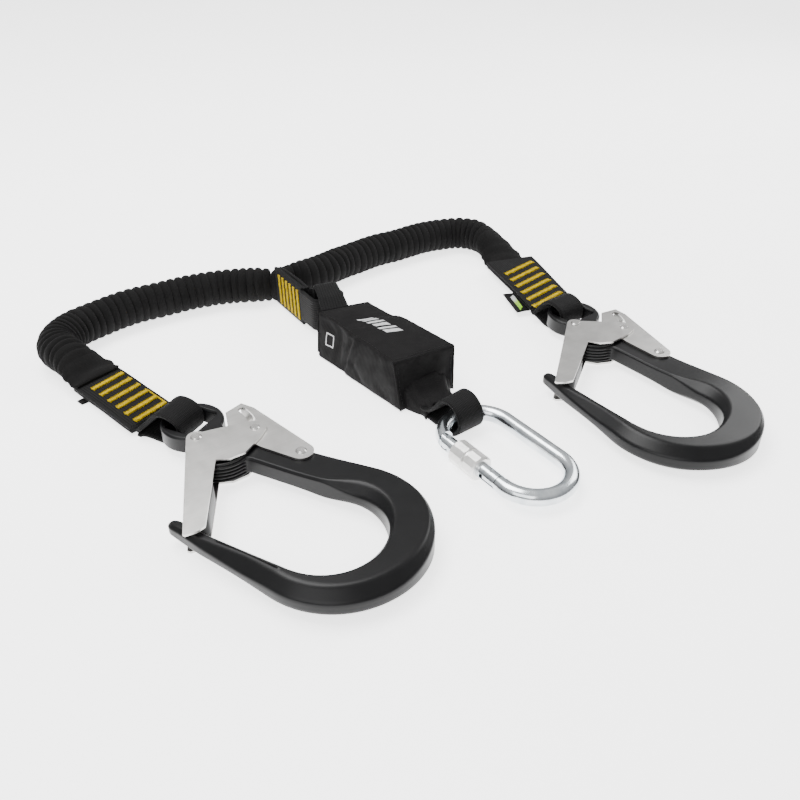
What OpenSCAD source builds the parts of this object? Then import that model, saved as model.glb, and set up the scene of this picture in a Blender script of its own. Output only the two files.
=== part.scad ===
// Twin-leg shock absorbing lanyard: an absorber pack with a screwgate karabiner,
// two stretch legs and two large double-action snap hooks. Millimetres, +Z up.
// The origin is on the floor, under the middle of the hooks, straps and pack.

/* [Snap hooks] */
// Height of both hooks' middle plane above the floor
hook_mid = 11.5; // [11.4:0.1:14]
// Half thickness of the hook along its spine and eye
spine_half = 6.5; // [5:0.5:7]
// Half thickness of the hook round its bend
bend_half = 10; // [8:0.5:11]
// Half thickness of the hook at its nose
nose_half = 4.5; // [3:0.5:6]
// Outside radius of the bend
bend_r = 57; // [54:1:60]
// Inside radius of the bend
throat_r = 37; // [34:1:40]
// Size of the bevel round the bend
bevel = 5; // [2:0.5:6]
// Radius of the round eye
eye_r = 22; // [21:0.5:24]
// Thickness of the steel plates of the gate and the lever
plate_t = 1.6; // [1:0.1:1.7]
// Radius of the gate's and the lever's pivot rivets
rivet_r = 3; // [2.5:0.1:3.5]
// Radius of the latch pin that rides in the lever's slot
latch_r = 2.5; // [2:0.1:3]
// How far the gate turns when it opens, in degrees
gate_swing = 38.4; // [30:0.1:40]
// How far the lever turns while the gate opens, in degrees
lever_swing = 3.2; // [2:0.1:4]

/* [Karabiner] */
// Overall length of the karabiner
kar_length = 115; // [108:1:120]
// Overall width of the karabiner
kar_width = 62; // [58:1:66]
// Radius of its round bar
rod_r = 5.75; // [5:0.05:6]
// Height of its middle plane above the floor
kar_mid = 9.4; // [9.3:0.1:10]
// Radius of the gate's round bar and of the nose that the sleeve slides over
gate_r = 5.4; // [4.5:0.05:5.5]
// Outside radius of the screw sleeve
sleeve_r = 9.2; // [8:0.1:9.3]
// Length of the screw sleeve
sleeve_length = 25.4; // [22:0.1:28]

/* [Webbing and pack] */
// Thickness of one layer of webbing
web_t = 3; // [2:0.1:3.2]
// Width of the webbing straps
strap_w = 36; // [30:1:40]
// Length of the absorber pack's cover
pack_length = 104; // [90:1:120]
// Width of the cover at the karabiner's end
pack_w = 47; // [40:1:55]
// Height of the cover
pack_h = 39; // [34:1:44]
// Outside radius of a stretch leg at the top of a pleat
leg_r = 16; // [13:0.5:16.2]
// Depth of a pleat
pleat_depth = 2; // [1:0.1:3]
// Distance from pleat to pleat
pleat_pitch = 9; // [7:0.5:12]

/* [Hidden] */
$fn = 72;
fit = 0.06;
gap = 0.3;
hook_black = [0.13, 0.13, 0.14];
steel = [0.76, 0.75, 0.73];
zinc = [0.78, 0.8, 0.81];
cloth = [0.16, 0.15, 0.16];
thread = [0.87, 0.72, 0.16];

// Places of the two hooks: the gate pivot and the direction from eye to bend.
left_at = [-177.1, 20.8];
left_turn = -61.4;
right_at = [143, -14.4];
right_turn = -87.6;

// A hook lies along its own X, from the eye at -X to the bend at +X.
eye_c = [-18.5, 19];
hub_c = [17, 2];
hub_r = 22;
bend_c = [126, -32];
throat_c = [121, -37];
nose_c = [35, -68.5];
hole_lo = [-32.5, 4.5];
hole_hi = [-8, 33.5];
hole_r = 3;
latch_c = [28.9, 26.4];
lever_c = [69.4, 19.9];
bar_c = [-36.5, 19];

// Heights in a hook, from its middle plane.
lever_in = spine_half + gap;
gate_in = lever_in + plate_t + gap;
gate_out = gate_in + plate_t;

// Each hook's webbing loop runs round the eye's bar.
loop_r = 9.6;
loop_w = 26;
left_strap_z = 2;
right_strap_z = 6;

// The karabiner's own frame has Y along its length, with the gate on the -X side.
kar_at = [-9, -99.7];
bow_r = kar_width / 2 - rod_r;
straight = kar_length - kar_width;
hinge_y = 30;
shoulder_y = 35.3;
nose_y = -22.6;
gate_end_y = -22;
pin_y = -15;
sleeve_y = -5.5;
hinge_pin_r = 1.8;
kar_pin_r = 1.6;

// The pack's own frame has Y away from the karabiner.
pack_at = [-3, -3];
pack_turn = 5.7;

// Routes of the two legs' middle lines along the floor.
leg_z = 16.5;
left_route = [
    [-22, 206], [-57, 226], [-80, 232], [-105, 235.5], [-137, 237.5],
    [-168, 234], [-194, 226], [-211, 213], [-215, 197], [-210, 178], [-205, 160]
];
right_route = [
    [-2, 205], [20, 203.5], [39, 205.5], [58, 209.5], [95, 213], [121, 212.5],
    [145, 212.5], [169, 210], [189, 203], [201, 190], [205.5, 170], [204.5, 152.5]
];
leg_sides = 12;

// ---------------------------------------------------------------- placement

module on_left() {
    translate([left_at[0], left_at[1], hook_mid])
        rotate([0, 0, left_turn])
            children();
}

module on_right() {
    translate([right_at[0], right_at[1], hook_mid])
        rotate([0, 0, right_turn])
            children();
}

module on_karabiner() {
    translate([kar_at[0], kar_at[1], kar_mid])
        children();
}

module on_pack() {
    translate([pack_at[0], pack_at[1], 0])
        rotate([0, 0, pack_turn])
            children();
}

// ---------------------------------------------------------------- shared shapes

function arc(c, r, from, to, n = 16) =
    [for (i = [0:n]) c + r * [cos(from + (to - from) * i / n), sin(from + (to - from) * i / n)]];

function heading(p, i) =
    let (a = p[max(i - 1, 0)], b = p[min(i + 1, len(p) - 1)]) (b - a) / norm(b - a);

// The outline of a band of thickness t that follows a line of points.
function band(p, t) = concat(
    [for (i = [0:len(p) - 1]) p[i] + t / 2 * [-heading(p, i)[1], heading(p, i)[0]]],
    [for (i = [len(p) - 1:-1:0]) p[i] - t / 2 * [-heading(p, i)[1], heading(p, i)[0]]]
);

// A strap whose line is drawn in Y and Z, and whose width lies along X.
module strap_yz(p, t, w) {
    rotate([90, 0, 90])
        linear_extrude(height = w, center = true)
            polygon(band(p, t));
}

// A strap whose line is drawn in X and Z, and whose width lies along Y.
module strap_xz(p, t, w) {
    rotate([90, 0, 0])
        linear_extrude(height = w, center = true)
            polygon(band(p, t));
}

module rivet(r, half, head_r, head_h) {
    cylinder(r = r, h = 2 * half, center = true);
    for (s = [0, 180])
        rotate([s, 0, 0])
            translate([0, 0, half - 0.01])
                cylinder(r1 = head_r, r2 = head_r - head_h, h = head_h);
}

// ---------------------------------------------------------------- snap hook

module hook_hole() {
    translate([hole_lo[0], hole_lo[1] + hole_r])
        square([hole_hi[0] - hole_lo[0], hole_hi[1] - hole_lo[1] - 2 * hole_r]);
    translate([hole_lo[0] + hole_r, hole_lo[1]])
        square([hole_hi[0] - hole_lo[0] - 2 * hole_r, hole_hi[1] - hole_lo[1]]);
    for (x = [hole_lo[0] + hole_r, hole_hi[0] - hole_r])
        for (y = [hole_lo[1] + hole_r, hole_hi[1] - hole_r])
            translate([x, y])
                circle(r = hole_r);
}

module hook_plan() {
    spine = [[-8, 0], [121, 0], [126, 25], [60, 25], [44, 22], [6, 22], [-8, 30]];
    arm = [[118, -73.9], [60, -69], [36, -64.6], [34, -72.4], [60, -78], [116, -88.1]];
    opening = [[60, 0], [121, 0], [121, -74], [118, -73.9], [60, -69]];
    difference() {
        union() {
            translate(eye_c)
                circle(r = eye_r);
            translate(hub_c)
                circle(r = hub_r);
            difference() {
                translate(bend_c)
                    circle(r = bend_r, $fn = 120);
                translate(throat_c)
                    circle(r = throat_r, $fn = 120);
                polygon(opening);
            }
            polygon(spine);
            polygon(arm);
            translate(nose_c)
                circle(r = 4);
        }
        hook_hole();
        circle(r = rivet_r);
        translate(lever_c)
            circle(r = rivet_r);
    }
}

// Takes the hook down to its thinner parts, above one side of the middle plane.
module hook_thinning() {
    high = bend_half + 2;
    translate([0, 60, 0])
        rotate([90, 0, 0])
            linear_extrude(height = 97)
                polygon([[-60, spine_half], [86, spine_half], [120, bend_half], [120, high], [-60, high]]);
    translate([0, -36.9, 0])
        rotate([90, 0, 0])
            linear_extrude(height = 60)
                polygon([[20, nose_half], [34, nose_half], [114, bend_half], [114, high], [20, high]]);
}

// The 45 degree bevels along the edges, above one side of the middle plane.
module hook_bevels() {
    far = bevel + 1;
    top = bend_half + 1;
    low = bend_half - bevel - 1;
    translate(bend_c)
        rotate([0, 0, -80])
            rotate_extrude(angle = 160, $fn = 120)
                polygon([[bend_r - far, top], [bend_r + 1, low], [bend_r + 1, top]]);
    translate(throat_c)
        rotate([0, 0, -80])
            rotate_extrude(angle = 160, $fn = 120)
                polygon([[throat_r + far, top], [throat_r - 1, low], [throat_r - 1, top]]);
}

module hook_body() {
    color(hook_black)
        difference() {
            linear_extrude(height = 2 * bend_half, center = true)
                hook_plan();
            for (s = [0, 1])
                mirror([0, 0, s]) {
                    hook_thinning();
                    hook_bevels();
                }
        }
}

module gate_rivet() {
    color(steel)
        rivet(rivet_r, gate_out + 0.15, 3.9, 1);
}

module lever_rivet() {
    color(steel)
        translate([lever_c[0], lever_c[1], 0])
            rivet(rivet_r, lever_in + plate_t + 0.15, 3.9, 1.2);
}

// Two turns of spring wire, one beside each face of the hook, under the gate's ears.
module gate_spring() {
    z = (spine_half + gate_in) / 2;
    wire = 0.8;
    color(zinc)
        for (s = [0, 1])
            mirror([0, 0, s])
                translate([0, 0, z]) {
                    rotate_extrude()
                        translate([5, 0])
                            circle(r = wire, $fn = 24);
                    rotate([0, 90, -53])
                        translate([0, -4.9, 4])
                            cylinder(r = 0.7, h = 18, $fn = 24);
                }
}

gate_tips = [
    [[58.3, -67.4], [57, -73], [52.5, -79], [50.8, -78.9]],
    [[55.2, -62.3], [53.9, -67.9], [49.4, -73.9], [47.2, -74.1]]
];

module gate_plan(tip) {
    difference() {
        union() {
            circle(r = 6.5);
            translate(latch_c)
                circle(r = 8);
            polygon([
                [-5, -4.3], [0, 6.4], [12, 20], [22, 31], [36.8, 27.5], [38.5, 20], [39, 1],
                [34, -9], [26.4, -14.1], each tip
            ]);
        }
        circle(r = rivet_r + fit);
        translate(latch_c)
            circle(r = latch_r + fit);
    }
}

// The gate is a channel: two plates astride the hook and a web along the outer edge.
module gate() {
    color(steel) {
        for (s = [0, 1])
            mirror([0, 0, s])
                translate([0, 0, gate_in])
                    linear_extrude(height = plate_t)
                        gate_plan(gate_tips[s]);
        translate([-5, -4.3, 0])
            rotate([0, 0, -53.2])
                translate([42, 0.1, 0])
                    translate([0, 0, -gate_in - 0.5])
                        cube([28, plate_t, 2 * gate_in + 1]);
    }
}

module latch_pin() {
    color(steel)
        translate([latch_c[0], latch_c[1], 0])
            rivet(latch_r, gate_out + 0.02, 3.4, 0.9);
}

function turned(p, a) = [p[0] * cos(a) - p[1] * sin(a), p[0] * sin(a) + p[1] * cos(a)];

// Where the latch pin is in the lever's own frame, from shut (t = 0) to open (t = 1).
function latch_path(t) = lever_c + turned(turned(latch_c, gate_swing * t) - lever_c, -lever_swing * t);

module lever_plan() {
    steps = 12;
    path = [for (i = [0:steps]) latch_path(i / steps)];
    difference() {
        union() {
            translate(lever_c)
                circle(r = 8.5);
            polygon([
                [-1, 34], [13.5, 17.5], [43, 12], [69.4, 11.4], [72.3, 27.9], [36, 40.2],
                [13, 48], [2, 48.5]
            ]);
        }
        translate(lever_c)
            circle(r = rivet_r + fit);
        polygon(band(path, 2 * (latch_r + gap)));
        translate(latch_c)
            circle(r = latch_r + gap);
        translate(path[steps])
            circle(r = latch_r + gap);
    }
}

// The lever is a channel too, inside the gate's plates, with its web along the back.
module lever() {
    color(steel) {
        for (s = [0, 1])
            mirror([0, 0, s])
                translate([0, 0, lever_in])
                    linear_extrude(height = plate_t)
                        lever_plan();
        translate([15, 47.2, 0])
            rotate([0, 0, -18.7])
                translate([0, -plate_t, -lever_in - 0.5])
                    cube([50, plate_t, 2 * lever_in + 1]);
        translate([2.5, 48.4 - plate_t, -lever_in - 0.5])
            cube([10, plate_t, 2 * lever_in + 1]);
    }
}

// ---------------------------------------------------------------- hook webbing

// The webbing loop round the eye's bar, in the hook's frame. low is the strap's underside,
// and loop_end is where the loop joins the strap.
module eye_loop(low, loop_end) {
    c = [bar_c[0], 0];
    under = [loop_end, low + web_t / 2 - hook_mid];
    over = [loop_end, low + 3 * web_t / 2 + 0.1 - hook_mid];
    a0 = atan2(under[1] - c[1], under[0] - c[0]) + acos(loop_r / norm(under - c));
    a1 = atan2(over[1] - c[1], over[0] - c[0]) - acos(loop_r / norm(over - c));
    a1_up = a1 < 0 ? a1 + 360 : a1;
    a0_low = a0 > 0 ? a0 - 360 : a0;
    color(cloth)
        translate([0, bar_c[1], 0])
            strap_xz(concat([under], arc(c, loop_r, a0_low, a1_up, 30), [over]), web_t, loop_w);
}

module flat_strap(corners, low) {
    color(cloth)
        translate([0, 0, low])
            linear_extrude(height = 2 * web_t + 0.1)
                polygon(corners);
}

// Raised bars of thread across a strap: from and to are the first bar's ends.
module tacks(from, to, step, count, z) {
    along = (to - from) / norm(to - from);
    color(thread)
        for (i = [0:count - 1])
            translate([from[0] + step[0] * i, from[1] + step[1] * i, z])
                rotate([0, 0, atan2(along[1], along[0])])
                    translate([0, -1.6, 0])
                        cube([norm(to - from), 3.2, 0.7]);
}

// ---------------------------------------------------------------- karabiner

module bar_y(r, from, to) {
    translate([0, from, 0])
        rotate([-90, 0, 0])
            cylinder(r = r, h = to - from);
}

module bow() {
    rotate_extrude(angle = 180, $fn = 120)
        translate([bow_r, 0])
            circle(r = rod_r);
}

module kar_frame() {
    color(zinc)
        difference() {
            union() {
                difference() {
                    translate([0, straight / 2, 0])
                        bow();
                    translate([-bow_r - 10, straight / 2 - 1, -10])
                        cube([20, shoulder_y - straight / 2 + 1, 20]);
                }
                translate([0, -straight / 2, 0])
                    rotate([0, 0, 180])
                        bow();
                translate([bow_r, 0, 0])
                    bar_y(rod_r, -straight / 2, straight / 2);
                translate([-bow_r, 0, 0])
                    bar_y(gate_r, -straight / 2 - 0.5, nose_y);
                translate([-bow_r, 0, -2.2])
                    linear_extrude(height = 4.4) {
                        translate([0, hinge_y])
                            circle(r = 4.5);
                        translate([-3.8, hinge_y])
                            square([8.3, shoulder_y - hinge_y + 1]);
                    }
                translate([-bow_r, 0, -1.5])
                    linear_extrude(height = 3)
                        polygon([
                            [-4.6, nose_y - 1], [4.6, nose_y - 1], [4.6, -18.5], [2, -17.2],
                            [-2.2, -17.2], [-2.2, -12.8], [2, -12.8], [1.4, -9.6], [-3.6, -9.6],
                            [-4.6, -11]
                        ]);
            }
            translate([-bow_r, hinge_y, 0])
                cylinder(r = hinge_pin_r, h = 10, center = true);
        }
}

module kar_hinge_pin() {
    color(zinc)
        translate([-bow_r, hinge_y, 0])
            cylinder(r = hinge_pin_r, h = 10.2, center = true);
}

module kar_gate() {
    color(zinc)
        translate([-bow_r, 0, 0])
            difference() {
                union() {
                    bar_y(gate_r, gate_end_y, hinge_y);
                    intersection() {
                        bar_y(gate_r, hinge_y - 1, hinge_y + 6);
                        translate([0, hinge_y, 0])
                            cylinder(r = 5, h = 20, center = true);
                    }
                }
                translate([-10, hinge_y - 5.3, -2.5])
                    cube([20, 12, 5]);
                translate([-10, gate_end_y - 1, -1.8])
                    cube([20, 14.5, 3.6]);
                translate([0, hinge_y, 0])
                    cylinder(r = hinge_pin_r + fit, h = 20, center = true);
                translate([0, pin_y, 0])
                    cylinder(r = kar_pin_r, h = 20, center = true);
                bar_y(2, 6, hinge_y - 5);
            }
}

module kar_latch_pin() {
    color(zinc)
        translate([-bow_r, pin_y, 0])
            cylinder(r = kar_pin_r, h = 10.2, center = true);
}

// The plunger and its spring, inside the gate, which push on the frame's hinge tongue.
module kar_spring() {
    color(steel)
        translate([-bow_r, 0, 0]) {
            for (y = [7.5:2.2:18.5])
                translate([0, y, 0])
                    rotate([90, 0, 0])
                        rotate_extrude($fn = 36)
                            translate([1.25, 0])
                                circle(r = 0.5, $fn = 16);
            bar_y(0.8, 6.3, 19.5);
            bar_y(1.7, 19.4, hinge_y - 5.4);
        }
}

module kar_sleeve() {
    chamfer = 1.4;
    color([0.88, 0.88, 0.86])
        translate([-bow_r, 0, 0])
            intersection() {
                rotate([-90, 0, 0])
                    rotate_extrude()
                        polygon([
                            [gate_r + 0.08, sleeve_y], [sleeve_r - chamfer, sleeve_y],
                            [sleeve_r, sleeve_y + chamfer], [sleeve_r, sleeve_y + 10],
                            [sleeve_r - 0.8, sleeve_y + 10.8], [sleeve_r - 0.8, sleeve_y + 12.2],
                            [sleeve_r, sleeve_y + 13],
                            [sleeve_r, sleeve_y + sleeve_length - chamfer],
                            [sleeve_r - chamfer, sleeve_y + sleeve_length],
                            [gate_r + 0.08, sleeve_y + sleeve_length]
                        ]);
                translate([0, sleeve_y - 1, 0])
                    rotate([-90, 0, 0])
                        cylinder(r = sleeve_r + 0.05, h = sleeve_length + 2, $fn = 12);
            }
}

// ---------------------------------------------------------------- pack

// The cover in the pack's frame; inset makes the space inside it.
module pack_solid(inset) {
    w = pack_w / 2 - inset;
    far_w = 20.5 - inset;
    low = 0.3 + inset;
    high = pack_h - inset;
    y0 = inset;
    y1 = pack_length - inset;
    polyhedron(
        points = [
            [-w, y0, low], [w, y0, low], [w - 1, y0, high], [-w + 1, y0, high],
            [-far_w - 1, y1, low], [far_w, y1, low], [far_w - 4, y1 - 2, high - 2],
            [-far_w + 5, y1 - 2, high - 2]
        ],
        faces = [
            [0, 2, 1], [0, 3, 2], [5, 7, 4], [5, 6, 7], [1, 4, 0], [1, 5, 4],
            [3, 6, 2], [3, 7, 6], [0, 7, 3], [0, 4, 7], [2, 5, 1], [2, 6, 5]
        ]
    );
}

module cover() {
    color(cloth)
        difference() {
            pack_solid(0);
            pack_solid(2);
            translate([-18, -3, 0.2 + 2])
                cube([30, 8, 8]);
            translate([-16, pack_length - 6, 5])
                cube([30, 10, 25]);
        }
}

// The cover's skirt over the karabiner loop's root.
module throat() {
    color(cloth)
        difference() {
            translate([-7.5, 0, 0])
                rotate([90, 0, 90])
                    linear_extrude(height = 44, center = true)
                        polygon([[-5.6, 0.3], [-5.6, 14.5], [-20, 11], [-23, 8], [-23, 0.3]]);
            translate([kar_at[0] - 14.4, -30, -1])
                cube([28.8, 40, 9]);
        }
}

// Webbing folded to and fro inside the cover, with the stitches that tear.
module folds() {
    count = 8;
    pitch = web_t + 0.4;
    color([0.85, 0.8, 0.68])
        on_pack()
            for (i = [0:count - 1])
                translate([-14, 10, 5 + i * pitch])
                    cube([28, 78, web_t]);
    color([0.85, 0.8, 0.68])
        on_pack()
            for (i = [0:count - 2])
                translate([-14, i % 2 == 0 ? 85 : 10, 5 + i * pitch + web_t - 0.1])
                    cube([28, 3, 0.6]);
}

module front_loop() {
    knee = arc([-29.5, 10.5], 4.5, -150.8, -90, 6);
    line = concat(
        [[-5.4, 1.8], [-51.5, 1.8]],
        [for (a = [-100:-10:-180]) [-51.5 + 12.5 * cos(a), 14.3 + 12.5 * sin(a)]],
        [for (a = [170:-10:40]) [-47.5 + 16.5 * cos(a), 14.3 + 16.5 * sin(a)]],
        [[-33.1, 22.3]], knee, [[-5.4, 6]]
    );
    color(cloth)
        translate([kar_at[0], 0, 0])
            strap_yz(line, web_t, loop_w);
}

// ---------------------------------------------------------------- fork

// The pack's far loop stands up and over, round the fork's webbing.
module far_loop() {
    line = concat(
        [[-3, 9], [10, 3]],
        [for (a = [-80:10:0]) [24 + 5 * cos(a), 6.8 + 5 * sin(a)]],
        [for (a = [0:10:100]) [24 + 5 * cos(a), 38 + 5 * sin(a)]],
        [[10, 38], [-3, 31]]
    );
    color(cloth)
        translate([-20, 98, 0])
            rotate([0, 0, -13])
                translate([3, 8, 0])
                    strap_yz(line, web_t, 20);
}

module ring_line() {
    polygon(band(concat(
        [[-22.4, 146]],
        arc([-17, 129], 6, 180, 250, 6),
        arc([-1.5, 127.5], 6, 250, 380, 12),
        [[2.5, 136], [-16.4, 147]]
    ), web_t));
}

module fork_band() {
    color(cloth)
        translate([0, 0, 5])
            linear_extrude(height = 29.5)
                ring_line();
}

// ---------------------------------------------------------------- legs

// A smooth line through the route's points, eight steps to each.
function smooth(p, i, t) =
    let (
        a = p[max(i - 1, 0)], b = p[i], c = p[i + 1], d = p[min(i + 2, len(p) - 1)]
    )
    0.5 * (2 * b + (c - a) * t + (2 * a - 5 * b + 4 * c - d) * t * t
        + (3 * b - a - 3 * c + d) * t * t * t);

function fine(p) = concat(
    [for (i = [0:len(p) - 2]) for (k = [0:7]) smooth(p, i, k / 8)],
    [p[len(p) - 1]]
);

function run(p, i = 0, s = 0, out = []) =
    i == len(p) ? out
    : let (d = i == 0 ? 0 : norm(p[i] - p[i - 1])) run(p, i + 1, s + d, concat(out, [s + d]));

function spot(s, at, p) = [
    lookup(s, [for (i = [0:len(p) - 1]) [at[i], p[i][0]]]),
    lookup(s, [for (i = [0:len(p) - 1]) [at[i], p[i][1]]])
];

function ring(c, d, r, n) = [
    for (j = [0:n - 1])
        [c[0] - d[1] * r * cos(360 * j / n), c[1] + d[0] * r * cos(360 * j / n), leg_z - r * sin(360 * j / n)]
];

// Ring centres, evenly spaced, and the radius of each.
function stations(route, n) =
    let (p = fine(route), at = run(p), total = at[len(at) - 1])
    [for (i = [0:n]) spot(total * i / n, at, p)];

function pleats(route) =
    let (p = fine(route), at = run(p)) round(at[len(at) - 1] / pleat_pitch);

module sleeve_tube(route) {
    n = 2 * pleats(route);
    c = stations(route, n);
    m = leg_sides;
    outer = [for (i = [0:n]) each ring(c[i], heading(c, i), i % 2 == 0 ? leg_r - pleat_depth : leg_r, m)];
    inner = [for (i = [0:n]) each ring(c[i], heading(c, i), leg_r - pleat_depth - 1.5, m)];
    k = len(outer);
    color(cloth)
        polyhedron(
            points = concat(outer, inner),
            faces = concat(
                [for (i = [0:n - 1]) for (j = [0:m - 1])
                    [i * m + j, i * m + (j + 1) % m, (i + 1) * m + j]],
                [for (i = [0:n - 1]) for (j = [0:m - 1])
                    [i * m + (j + 1) % m, (i + 1) * m + (j + 1) % m, (i + 1) * m + j]],
                [for (i = [0:n - 1]) for (j = [0:m - 1])
                    [k + i * m + j, k + (i + 1) * m + j, k + i * m + (j + 1) % m]],
                [for (i = [0:n - 1]) for (j = [0:m - 1])
                    [k + i * m + (j + 1) % m, k + (i + 1) * m + j, k + (i + 1) * m + (j + 1) % m]],
                [for (j = [0:m - 1]) [j, k + j, (j + 1) % m]],
                [for (j = [0:m - 1]) [(j + 1) % m, k + j, k + (j + 1) % m]],
                [for (j = [0:m - 1]) [n * m + j, n * m + (j + 1) % m, k + n * m + j]],
                [for (j = [0:m - 1]) [n * m + (j + 1) % m, k + n * m + (j + 1) % m, k + n * m + j]]
            )
        );
}

module core_tube(route) {
    n = pleats(route);
    c = stations(route, n);
    m = 8;
    pts = [for (i = [0:n]) each ring(c[i], heading(c, i), 6, m)];
    color([0.5, 0.5, 0.48])
        polyhedron(
            points = pts,
            faces = concat(
                [for (i = [0:n - 1]) for (j = [0:m - 1])
                    [i * m + j, i * m + (j + 1) % m, (i + 1) * m + j]],
                [for (i = [0:n - 1]) for (j = [0:m - 1])
                    [i * m + (j + 1) % m, (i + 1) * m + (j + 1) % m, (i + 1) * m + j]],
                [[for (j = [m - 1:-1:0]) j]],
                [[for (j = [0:m - 1]) n * m + j]]
            )
        );
}

// ---------------------------------------------------------------- nodes

module pack_cover() {
    on_pack()
        cover();
}

module pack_throat() {
    throat();
}

module tear_webbing() {
    folds();
}

module karabiner_loop() {
    front_loop();
}

module pack_end_loop() {
    far_loop();
}

module fork_ring() {
    fork_band();
}

module fork_strap() {
    color(cloth)
        translate([0, 0, 1])
            linear_extrude(height = strap_w)
                polygon([[-23.9, 148.2], [-14.9, 148.2], [-15, 198], [-21.5, 198]]);
}

module fork_tacks() {
    color(thread)
        for (i = [0:5])
            translate([-24.65 + 0.337 * i, 151.5 + 7 * i, 5])
                cube([0.8, 3, 28]);
}

module fork_junction() {
    color(cloth)
        translate([0, 0, 3])
            linear_extrude(height = 28)
                polygon([
                    [-21.5, 198.1], [-15, 198.1], [-2.4, 196], [-2.4, 213], [-14.5, 217], [-27.2, 195.6]
                ]);
}

module left_leg_sleeve() {
    sleeve_tube(left_route);
}

module left_leg_core() {
    core_tube(left_route);
}

module right_leg_sleeve() {
    sleeve_tube(right_route);
}

module right_leg_core() {
    core_tube(right_route);
}

module left_end_strap() {
    flat_strap([[-181.5, 163], [-221.5, 155.5], [-203.5, 71.3], [-168.4, 90.4]], left_strap_z);
}

module left_end_tacks() {
    tacks([-209.5, 140], [-183, 149.5], [2.2, -11.6], 6, left_strap_z + 2 * web_t + 0.1);
}

module left_eye_loop() {
    on_left()
        eye_loop(left_strap_z, -56);
}

module left_tag() {
    color(cloth)
        translate([0, 0, 0.4])
            linear_extrude(height = 1.4)
                polygon([[-225, 136], [-223.4, 129], [-208, 132], [-209.6, 139]]);
}

module right_end_strap() {
    flat_strap([[141, 35.6], [187.5, 37.6], [230.4, 149.5], [186.5, 145.5]], right_strap_z);
}

module right_end_tacks() {
    tacks([172.2, 103.2], [212, 109.8], [-4.8, -12.7], 6, right_strap_z + 2 * web_t + 0.1);
}

module right_eye_loop() {
    on_right()
        eye_loop(right_strap_z, -49);
}

module right_label() {
    color(cloth)
        translate([0, 0, 4.4])
            linear_extrude(height = 1.4)
                polygon([[151, 47], [165, 80], [152, 84], [139.5, 51]]);
}

module left_hook_body() {
    on_left()
        hook_body();
}

module left_gate_rivet() {
    on_left()
        gate_rivet();
}

module left_lever_rivet() {
    on_left()
        lever_rivet();
}

module left_gate_spring() {
    on_left()
        gate_spring();
}

module left_gate() {
    on_left()
        gate();
}

module left_latch_pin() {
    on_left()
        latch_pin();
}

module left_lever() {
    on_left()
        lever();
}

module right_hook_body() {
    on_right()
        hook_body();
}

module right_gate_rivet() {
    on_right()
        gate_rivet();
}

module right_lever_rivet() {
    on_right()
        lever_rivet();
}

module right_gate_spring() {
    on_right()
        gate_spring();
}

module right_gate() {
    on_right()
        gate();
}

module right_latch_pin() {
    on_right()
        latch_pin();
}

module right_lever() {
    on_right()
        lever();
}

module karabiner_frame() {
    on_karabiner()
        kar_frame();
}

module karabiner_hinge_pin() {
    on_karabiner()
        kar_hinge_pin();
}

module karabiner_gate() {
    on_karabiner()
        kar_gate();
}

module karabiner_latch_pin() {
    on_karabiner()
        kar_latch_pin();
}

module karabiner_spring() {
    on_karabiner()
        kar_spring();
}

module karabiner_sleeve() {
    on_karabiner()
        kar_sleeve();
}

pack_cover();
pack_throat();
tear_webbing();
karabiner_loop();
pack_end_loop();
fork_ring();
fork_strap();
fork_tacks();
fork_junction();
left_leg_sleeve();
left_leg_core();
right_leg_sleeve();
right_leg_core();
left_end_strap();
left_end_tacks();
left_eye_loop();
left_tag();
right_end_strap();
right_end_tacks();
right_eye_loop();
right_label();
left_hook_body();
left_gate_rivet();
left_lever_rivet();
left_gate_spring();
left_gate();
left_latch_pin();
left_lever();
right_hook_body();
right_gate_rivet();
right_lever_rivet();
right_gate_spring();
right_gate();
right_latch_pin();
right_lever();
karabiner_frame();
karabiner_hinge_pin();
karabiner_gate();
karabiner_latch_pin();
karabiner_spring();
karabiner_sleeve();
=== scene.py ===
"""The looks of the twin-leg shock absorbing lanyard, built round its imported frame."""

import math
import random

import bmesh
import bpy
import numpy as np
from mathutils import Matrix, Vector, geometry
from mathutils.bvhtree import BVHTree


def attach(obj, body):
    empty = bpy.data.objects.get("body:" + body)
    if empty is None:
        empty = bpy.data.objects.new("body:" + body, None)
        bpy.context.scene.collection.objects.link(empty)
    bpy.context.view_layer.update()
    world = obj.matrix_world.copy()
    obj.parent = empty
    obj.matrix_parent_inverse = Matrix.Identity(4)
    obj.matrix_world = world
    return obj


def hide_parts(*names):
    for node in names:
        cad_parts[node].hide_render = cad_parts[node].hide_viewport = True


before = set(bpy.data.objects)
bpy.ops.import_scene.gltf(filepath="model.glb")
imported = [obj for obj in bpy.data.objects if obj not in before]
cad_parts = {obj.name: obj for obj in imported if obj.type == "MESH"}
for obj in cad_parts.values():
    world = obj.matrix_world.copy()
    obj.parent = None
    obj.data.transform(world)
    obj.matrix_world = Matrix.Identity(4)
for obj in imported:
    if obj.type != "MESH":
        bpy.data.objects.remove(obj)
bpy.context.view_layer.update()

# Lengths below are in millimetres and become metres in piece().
MM = 0.001
HOOK_MID = 11.5    # height of a hook's middle plane
LEG_Z = 16.5       # height of a leg's middle line
LEG_R = 16.0       # radius of a leg over its pleats
LEG_STEP = 0.55    # distance between a leg's rings
WEB_T = 3.0        # thickness of one layer of webbing
UP = (0, 0, 1)
DOWN = (0, 0, -1)
random.seed(7)


# ------------------------------------------------------------ camera and light

def aim(obj, target):
    obj.rotation_euler = (Vector(target) - obj.location).to_track_quat("-Z", "Y").to_euler()


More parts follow.
